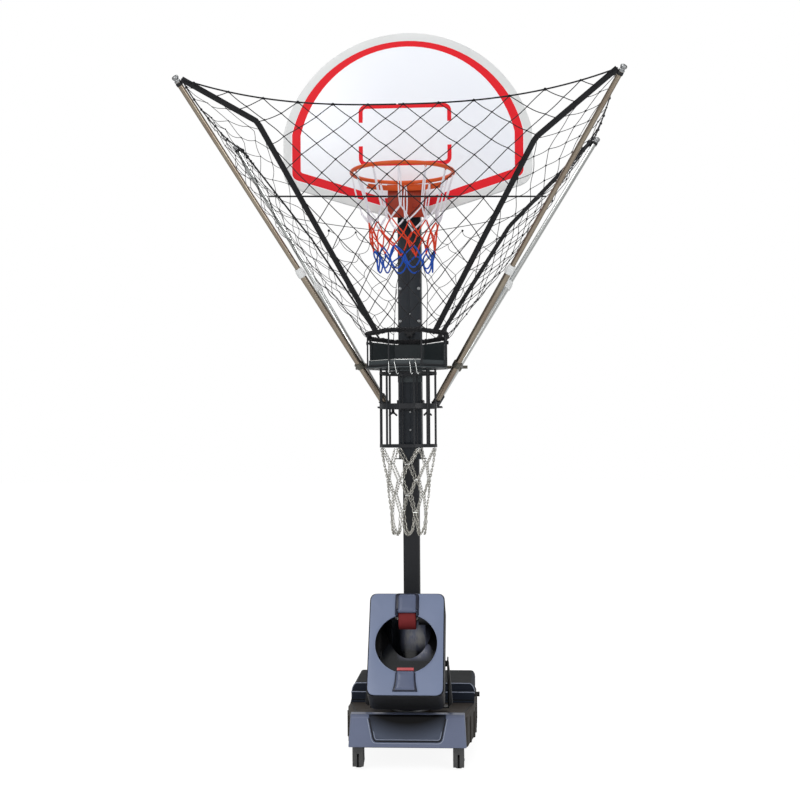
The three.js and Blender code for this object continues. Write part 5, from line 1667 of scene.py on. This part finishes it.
# %% Inlay
def inlay_painted_shadow():
    """Dark above as painted shade under the top edge, grey below. The limit between them sinks towards both
    ends.
    """
    f = Finish("inlay", Specular_IOR_Level=0.14)
    x, y, z = f.axes()
    # the dark top is painted shade under the recess's top edge
    high = (z + (x * x) * -1.6).rise(0.142, 0.226)
    f.set(Base_Color=f.blend(high, paint("525969"), paint("070709")), Roughness=f.noise(6) * 0.12 + 0.36)
    return f.bump(f.noise(1400, 2), 0.04, 0.6).material


def inlay_row(half, z, back=0, rises=(0, 0)):
    """One outline of the inlay, 2 mm thick. Its front and its rear each have a rise above z."""
    row = [half * (i / 20 - 1) for i in range(41)]
    front, rear = [[(x, bumper_front(x, z) + back + depth, z + rise) for x in row]
                   for depth, rise in zip((-0.8, 1.2), rises)]
    return front + rear[::-1]


inlay_loops = []
for k in range(29):
    z = mix(z_low + 2, z_high - 13, k / 28)
    half = mix(half_low, half_high, k / 28) - 5 - 18 * (1 - ease(z, z_low, z_low + 24)) ** 2
    inlay_loops.append(inlay_row(half, z))
for k in range(1, 6):
    back, rise = over_top(math.pi / 16 * k)
    inlay_loops.append(inlay_row(half, BUMP["high"] - BUMP["round"], back, (rise + 0.5, rise - 0.5)))
piece("bumper_inlay", loft(Shapes(), inlay_loops), "base", inlay_painted_shadow(), smooth=50)
print("the inlay is", round(2 * half), "mm wide at its top")

# %% [markdown]
# The gasket and its two beads are tubes along the edge of the recess: the black gasket is painted shade in
# the groove, and the pale beads are painted highlights on its edges. One path serves for all three, moved
# out or in by a few millimetres and lifted by how proud each one stands.

# %% Gasket and beads
def recess_path(grow, lift):
    """Points down one side of the recess, along its sill and up the other side, grow outside its edge."""
    left = [(-half_high - grow, z_high - 14), (-half_low - grow, z_low - grow)]
    line = soft_corners(left + [(-x, z) for x, z in left[::-1]], [0, 22 + grow, 22 + grow, 0], 6)
    return [(x, bumper_front(x, z) - lift, z) for x, z in line]


# a black tube as painted shade in the groove, and pale tubes on its edges as painted highlights
piece("recess_gasket", Shapes().tube(recess_path(-4, 1.5), 3.4, 8), "base", TRIM, smooth=60)
highlight_tubes = Shapes().tube(recess_path(2.5, 1.2), 2, 8).tube(recess_path(-11, 0.6), 2, 8)
piece("recess_beads", highlight_tubes, "base", HIGHLIGHT_BEAD, smooth=60)
print("the recess is", 2 * half_high, "mm wide at its top")

# %% [markdown]
# ## Wheels, casters and the side knob
# A wheel is turned, so half of its profile is enough: a crowned tread, a step down to the rim, and the hub.

# %% Form of a wheel
FRONT = {"x": 234, "y": -361, "reach": 40, "half": 16, "axle": 39.7}
REAR = {"x": 262, "y": 230, "reach": 45, "half": 17, "axle": 44.6}


def rolling_wheel(end, name, side, size):
    r, h = size["reach"] - 0.6, size["half"]
    half = [(7.6, -h), (r * 0.35, -h), (r * 0.4, 3 - h), (r * 0.68, 3 - h), (r * 0.74, 0.5 - h),
            (r * 0.9, 0.8 - h), (r * 0.975, 3.5 - h), (r, -h * 0.35)]
    foot = (side * size["x"], size["y"], size["axle"])
    wheel = Shapes().turned(both_sides(half), foot, (1, 0, 0), 48, True)
    node = f"{end}_wheel_{name}"
    piece(f"{end}_tyre_{name}", wheel, node, TYRE, [node], smooth=50)


print("the front wheels are", 2 * FRONT["reach"], "mm and the rear ones", 2 * REAR["reach"], "mm across")

# %% [markdown]
# A fork is two cheeks under a plate, and a guard before the wheel that leaves a slot for it. All of them
# are plates drawn from the side.

# %% Wheels and caster forks
GUARD = [(-414, 105), (-414, 52), (-409.5, 14), (-404.6, 14), (-407, 52), (-407, 101)]
BRIDGE = [(-413.6, 104.6), (-413.6, 74), (-407.2, 74), (-407.2, 101)]
AXLE = [(0, -27), (6, -27), (6.9, -25), (6.9, 25), (6, 27), (0, 27)]


def caster_fork(name, side):
    x, y, axle = side * FRONT["x"], FRONT["y"], FRONT["axle"]
    fork = Shapes().box(x - 29, x + 29, -415, -355, 107.5, 111.6)
    fork.turned([(0, 101), (22, 101), (24, 107.6), (0, 107.6)], (x, -385, 0), sides=32)
    cheek = [(-414, 106), (-412, 50), (-408, 14), (-388, 12), (y - 8, axle - 15), (y + 8, axle - 15),
             (y + 18, axle), (-352, 72), (-350, 106)]
    cheek = soft_corners(cheek, [4, 12, 4, 8, 8, 8, 8, 10, 4], 4)
    for outline, near, far in ((cheek, -25.5, -18.5), (cheek, 18.5, 25.5), (GUARD, -25.4, -4.5),
                               (GUARD, 4.5, 25.4), (BRIDGE, -4.9, 4.9)):
        fork.plate(outline, from_side(x), near, far)
    fork.turned(AXLE, (x, y, axle), (1, 0, 0), 20)
    piece(f"caster_fork_{name}", fork, f"front_caster_{name}", CASTER, [f"front_fork_{name}"],
          bevel=1.6, steps=2)


for name, side in (("left", -1), ("right", 1)):
    rolling_wheel("front", name, side, FRONT)
    rolling_wheel("rear", name, side, REAR)
    caster_fork(name, side)
print("the forks' axles are", FRONT["axle"], "mm above the floor")

# %% [markdown]
# The knob on the base's side switches the machine on. It is turned, with a bar across it to grip.

# %% Side knob
turned_knob = [(0, 0.3), (13, 0.3), (13, 5), (11.6, 8), (11, 17), (9.5, 20), (0, 20)]
side_knob = Shapes().turned(turned_knob, (304, 0, 275), (1, 0, 0), 32)
side_knob.plate(rectangle(2.6, 263, 287, 2, 3), from_side(), 320, 330)
piece("side_knob", side_knob, "power_knob", TRIM, ["power_knob"], bevel=0.8, steps=2)
print("side knob:", len(side_knob.faces), "faces before its edges are rounded")

# %% [markdown]
# ## The throwing head
# The head is a box tilted back by 30 degrees behind a flat face. Places on it are given on the face:
# across, up the face, and back from it. The mouth is a round hole whose top runs on into the slot for the
# upper wheel.

# %% Face
HEAD = {"half": 175, "tall": 249, "corner": 36, "mouth": 143, "slot": 45, "slot_top": 160}
HEAD_UP = Vector((0, math.sin(math.pi / 6), math.cos(math.pi / 6)))
HEAD_BACK = Vector((0, math.cos(math.pi / 6), -math.sin(math.pi / 6)))


def on_face(x, u, d):
    return Vector((x, -500, 600)) + HEAD_UP * u + HEAD_BACK * d


def face_outline(inset):
    return rectangle(HEAD["half"] - inset, inset - HEAD["tall"], HEAD["tall"] - inset, HEAD["corner"], 6)


def mouth_point(x, u, grow=0):
    """The mouth's edge in the direction of (x, u) from its middle."""
    far = math.hypot(x, u)
    c, s = x / far, u / far
    reach = HEAD["mouth"] + grow
    if s > 0:
        reach = max(reach, min((HEAD["slot"] + grow) / max(abs(c), 1e-6), (HEAD["slot_top"] + grow) / s))
    return reach * c, reach * s


outer = filled_in(face_outline(4.5), 6)
panel = band(Shapes(), outer, [mouth_point(x, u) for x, u in outer], on_face, 0, 8)
piece("face_panel", panel, "head", FACE, ["head_face"], bevel=2.2)
lip_out, lip_in = [[mouth_point(x, u, grow) for x, u in outer] for grow in (4.5, -0.5)]
mouth_lip = band(Shapes(), lip_out, lip_in, on_face, -1.6, 5)
piece("mouth_lip", mouth_lip, "head", FACE, bevel=1.2, steps=2)
print("the mouth is", 2 * HEAD["mouth"], "mm wide")

# %% [markdown]
# A shroud covers each wheel where it comes close to the face: a dark skirt round a pale cap. Both are
# lofted outlines that draw in as they rise from the face.

# %% Shrouds
def flared(low_half, high_half, low, high, steps=6):
    """An outline whose sides curve out to low_half at its foot."""
    heights = [k / steps for k in range(steps + 1)]
    side = [(mix(high_half, low_half, (1 - t) ** 2.2), mix(low, high, t)) for t in heights]
    return [(-x, u) for x, u in side[::-1]] + side


def towards(value, middle, inset):
    """The value moved towards the middle by inset, but not past it."""
    return value - math.copysign(min(inset, abs(value - middle)), value - middle)


def raised(shapes, outline, levels):
    """Lofts an outline through (depth, inset) levels, inset towards its middle."""
    mid_x, mid_u = [sum(values) / len(outline) for values in zip(*outline)]
    loops = [[(towards(x, mid_x, inset), towards(u, mid_u, inset), depth) for x, u in outline]
             for depth, inset in levels]
    return loft(shapes, [[on_face(*p) for p in loop] for loop in loops])


SKIRT_LEVELS = [(6, 0), (-4, 1), (-7, 3), (-8, 6)]
CAP_LEVELS = [(0, 0), (-5, 0.4), (-9, 2), (-11.5, 5), (-13.2, 11), (-14, 19), (-14.3, 28)]
skirts = raised(Shapes(), rectangle(56, 162, 246, [4, 4, 16, 16]), SKIRT_LEVELS)
for side in (-1, 1):
    leg = [(side * x, u) for x, u in ((44.5, 166), (56, 166), (56, 137), (44.5, 126))]
    raised(skirts, soft_corners(leg, 1.5, 2), SKIRT_LEVELS)
raised(skirts, soft_corners(flared(58, 46, -230, -138), 3, 2), SKIRT_LEVELS)
piece("shroud_skirts", skirts, "head", SKIRT, smooth=45)
caps = raised(Shapes(), rectangle(42, 149, 240, [5, 5, 14, 14]), CAP_LEVELS)
raised(caps, soft_corners(flared(46, 40, -225, -134), 4, 2), CAP_LEVELS)
piece("shroud_caps", caps, "head", SHROUD, smooth=45)
# the red strip stands for the top of the lower wheel, and its pale red is a painted highlight from above
strip = Shapes().plate(rectangle(38, -132, -119, 2, 2), on_face, -9, 6)
piece("lower_strip", strip, "head", STRIP_PAINTED_HIGHLIGHT, bevel=2.5, steps=2)
print("shrouds stand", -CAP_LEVELS[-1][0], "mm proud of the face")

# %% [markdown]
# The shell is the box behind the face and the round hopper that the ball falls into. The two are joined,
# and then hollowed by the same shapes drawn in by the wall.

# %% Shell and hopper
HOPPER = {"y": -200, "outer": 129, "inner": 125, "low": 296, "high": 724}


def pot(radius, low, high, cut):
    """A round pot whose rear foot is cut off at a slant."""
    loops = []
    rear = HOPPER["y"] + HOPPER["outer"] + 2
    for z in (low, low + 1.5, low + 6, low + 20, low + 40, low + 60, low + 80, high - 2, high):
        r = radius - (3 if z in (low, high) else 1 if z == low + 1.5 else 0)
        limit = rear - 70 - cut + max(z - 294, 0) * 70 / 72
        circle = [(x, HOPPER["y"] + y) for x, y in ring_section(r, 64)]
        loops.append([(x, min(y, limit), z) for x, y in circle])
    return loft(Shapes(), loops)


def head_box(levels):
    return loft(Shapes(), [[on_face(x, u, d) for x, u in face_outline(inset)] for d, inset in levels])


box = head_box([(8.3, 0), (186, 0), (196, 2), (202, 6), (205, 12)])
shell = piece("head_shell_box", box, "head", SHELL, ["head_shell"])
carve(shell, [pot(HOPPER["outer"], HOPPER["low"], HOPPER["high"], 0)], "UNION")
inside = pot(HOPPER["inner"], HOPPER["low"] + 4, HOPPER["high"] + 30, 8)
carve(shell, [head_box([(6, 5), (190, 5), (198, 9), (200, 14)]), inside])
print("the hollow shell has", len(shell.data.polygons), "faces")

# %% [markdown]
# The head hangs in its yoke on two bolts, one on each side. Ribs stiffen the yoke's arms, and screws hold
# it to the turntable.

# %% Bolts, ribs and screws
BOLT = [(0, -6), (14, -6), (14, 14), (13, 15), (0, 15)]
NUT = [(0, 12), (11.5, 12), (11.5, 16), (9.8, 17.5), (0, 17.5)]
SCREW = [(0, 0), (5, 0), (5, 3.4), (4, 4.6), (0, 4.6)]
RIB = [(188.2, 468), (191, 462), (206, 292), (188.2, 280)]
stubs, ribs, screws = Shapes(), Shapes(), Shapes()
for side in (-1, 1):
    for profile, sides in ((BOLT, 32), (NUT, 6)):
        stubs.turned(profile, (side * 173, -330, 480), (side, 0, 0), sides)
    ribs.plate([(side * x, z) for x, z in RIB], lambda a, b, d: (a, d, b), -332, -286)
    screws.turned(SCREW, (side * 78 + 3, -248, 258), sides=16)
piece("pivot_bolts", stubs, "head", TRIM, smooth=40)
piece("yoke_ribs", ribs, BODY_OF["head_yoke"], TRIM, bevel=1.5, steps=2)
piece("table_screws", screws, BODY_OF["turntable"], ZINC, bevel=0.4, steps=1)
print("bolts, ribs and screws:", [len(shapes.faces) for shapes in (stubs, ribs, screws)], "faces")

# %% [markdown]
# A smoked sheet lines the hopper's sides and rear and goes on to the trough, so that the ball meets one
# smooth surface. Its lower part slants forward with the shell, and a plate behind the trough closes what
# the round leaves open.

# %% Hopper liner
LINER = {"radius": 124.4, "sheet": 2.4, "levels": (306, 322, 338, 354, 372, 716)}
liner, loops = Shapes(), []
for a in [math.radians(-50 + 5 * k) for k in range(57)]:
    walls = []
    for inward in (0, LINER["sheet"]):
        radius = LINER["radius"] - inward
        x, y = radius * math.cos(a), HOPPER["y"] + radius * math.sin(a)
        walls.append([(x, min(y, -148 + (z - 294) * 0.972 - inward), z) for z in LINER["levels"]])
    loops.append(walls[0] + walls[1][::-1])
loft(liner, loops)
# the sheet below the hopper's opening fills the trough's round
wide = [(x, math.sqrt(max(125**2 - x * x, 0)), math.sqrt(15750 - x * x))
        for x in [125 * math.sin(math.pi / 2 * (k / 20 - 1)) for k in range(41)]]
opening = [(x, min(251 - 2 * hole, trough - 9)) for x, hole, trough in wide]
under = [(x, -8 - trough) for x, hole, trough in wide]
liner.plate(opening + under[::-1], on_face, 196.6, 198.6)
# the liner's pale smoke is painted light, for the little light that reaches into the hopper
piece("hopper_liner", liner, "head", HAZED_PAINTED_LIGHT, smooth=50)
print("liner:", len(liner.faces), "faces")

# %% [markdown]
# Two red wheels spin against each other and pull the ball through. Each is a broad rubber tread on a hub,
# crowned a little in the middle, and its nylon ends run in the shell.

# %% Throwing wheels
TREAD = [(9.7, -40), (26, -40), (27, -36), (46, -36), (47, -39.5), (51.5, -40), (53.4, -38), (53.9, -20),
         (54, 0)]
END = [(0, 41), (9, 41), (9, 49), (6, 50), (6, 56), (0, 56)]
for name, u, d in (("upper", 150, 62), ("lower", -166, 74)):
    wheel = Shapes().turned(both_sides(TREAD), on_face(0, u, d), (1, 0, 0), 72, True)
    piece(f"wheel_rubber_{name}", wheel, f"{name}_wheel", RED_RUBBER,
          [f"throwing_wheel_{name}"], smooth=40)
    ends = Shapes()
    for side in (-1, 1):
        ends.turned(END, on_face(0, u, d), (side, 0, 0), 16)
    piece(f"wheel_ends_{name}", ends, f"{name}_wheel", NYLON, bevel=0.4, steps=1)
print("the throwing wheels are", 2 * TREAD[-1][0], "mm across")

# %% [markdown]
# The ball rolls down a smoked trough to the wheels. It is a sheet bent to a little more than half a circle
# and straight along the ball's way. A flange on each side holds it in the head.

# %% Chute
chute = Shapes()
arc = [3.5 * (k / 48 - 0.5) - math.pi / 2 for k in range(49)]
outside, within = [[(math.cos(a) * r, math.sin(a) * r - 8) for a in arc] for r in (130, 126)]
chute.plate(outside + within[::-1], on_face, 133, 196)
for side in (-1, 1):
    x0, x1 = sorted((side * 126.5, side * 169.6))
    chute.plate([(x0, -12), (x1, -12), (x1, -8), (x0, -8)], on_face, 133, 196)
piece("chute_trough", chute, "head", SMOKE_SCUFFS_PAINTED_LIGHT, ["ball_chute"], bevel=1)
print("the trough is", 196 - 133, "mm long")

# %% [markdown]
# ## Light and floor
# The machine stands on a pale floor before a white background. The floor keeps the shadow, and a glow that
# only the camera sees lifts it almost to the white behind the machine.

# %% Floor
FLOOR_HALF = 40
floor_mesh = bpy.data.meshes.new("floor")
corners = [(-FLOOR_HALF, -FLOOR_HALF, 0), (FLOOR_HALF, -FLOOR_HALF, 0), (FLOOR_HALF, FLOOR_HALF, 0),
           (-FLOOR_HALF, FLOOR_HALF, 0)]
floor_mesh.from_pydata(corners, [], [(0, 1, 2, 3)])
floor = bpy.data.objects.new("floor", floor_mesh)
scene.collection.objects.link(floor)
pale_floor = Finish("pale_floor", Base_Color=(0.93, 0.93, 0.93, 1), Roughness=0.9, Specular_IOR_Level=0.1)
seen = pale_floor.start.node("LightPath", out="Is Camera Ray")
glow = pale_floor.start.node("Emission", inputs={"Color": (1, 1, 1, 1), "Strength": 1.2})
plain = Wire(pale_floor.tree, pale_floor.shader.outputs[0])
both = pale_floor.start.node("MixShader", inputs={0: seen * 0.76, 1: plain, 2: glow})
plug(pale_floor.tree, pale_floor.tree.nodes["Material Output"].inputs[0], both)
floor.data.materials.append(pale_floor.material)
print("the floor is", 2 * FLOOR_HALF, "m wide")

# %% [markdown]
# The world is plain white where the camera looks at it, also through a smoked sheet. As a light it is
# dimmer, so that lamps and world together show a colour about as it is written. What a plated tube mirrors
# is bright before and behind the machine and dim at its sides, and so the tube shows dark edges.

# %% Background
WORLD_LIGHT = 0.52
world = bpy.data.worlds.new("studio")
scene.world = world
world.use_nodes = True
sky = Wire(world.node_tree)
seen, through, mirrored = [sky.node("LightPath", out=f"Is {kind} Ray")
                           for kind in ("Camera", "Transmission", "Glossy")]
split = sky.node("SeparateXYZ", inputs={0: sky.node("TexCoord", out="Generated")}, out=1)
tent = split * split * 0.62 + 0.28
light = mirrored * (tent - WORLD_LIGHT) + WORLD_LIGHT
background = world.node_tree.nodes["Background"]
plug(world.node_tree, background.inputs["Color"], (1, 1, 1, 1))
plug(world.node_tree, background.inputs["Strength"], seen.at_least(through).at_least(light))
print("backdrop 1, light", WORLD_LIGHT, "and reflections 0.28 to 0.9")

# %% [markdown]
# Three round lamps stand before and above the machine: a strong key from the left, a weaker fill from the
# right and one overhead. They are large, so the shadows have soft edges. The plain view transform keeps
# colours as they are written.

# %% Lamps
# name, place, the place it shines at, its size in metres and its power
LAMPS = [("key", (-2600, -5200, 4600), (0, -300, 1700), 3.0, 118),
         ("fill", (3600, -4200, 2400), (0, -300, 1500), 2.6, 55),
         ("top", (400, -400, 6200), (0, -200, 1500), 2.4, 48)]
for name, place, aim, size, power in LAMPS:
    lamp = bpy.data.lights.new(name, "AREA")
    lamp.shape, lamp.size, lamp.energy = "DISK", size, power
    holder = bpy.data.objects.new(name, lamp)
    scene.collection.objects.link(holder)
    holder.location = at(*place)
    holder.rotation_euler = (at(*aim) - at(*place)).to_track_quat("-Z", "Y").to_euler()
scene.view_settings.view_transform = "Standard"
print(len(LAMPS), "lamps")
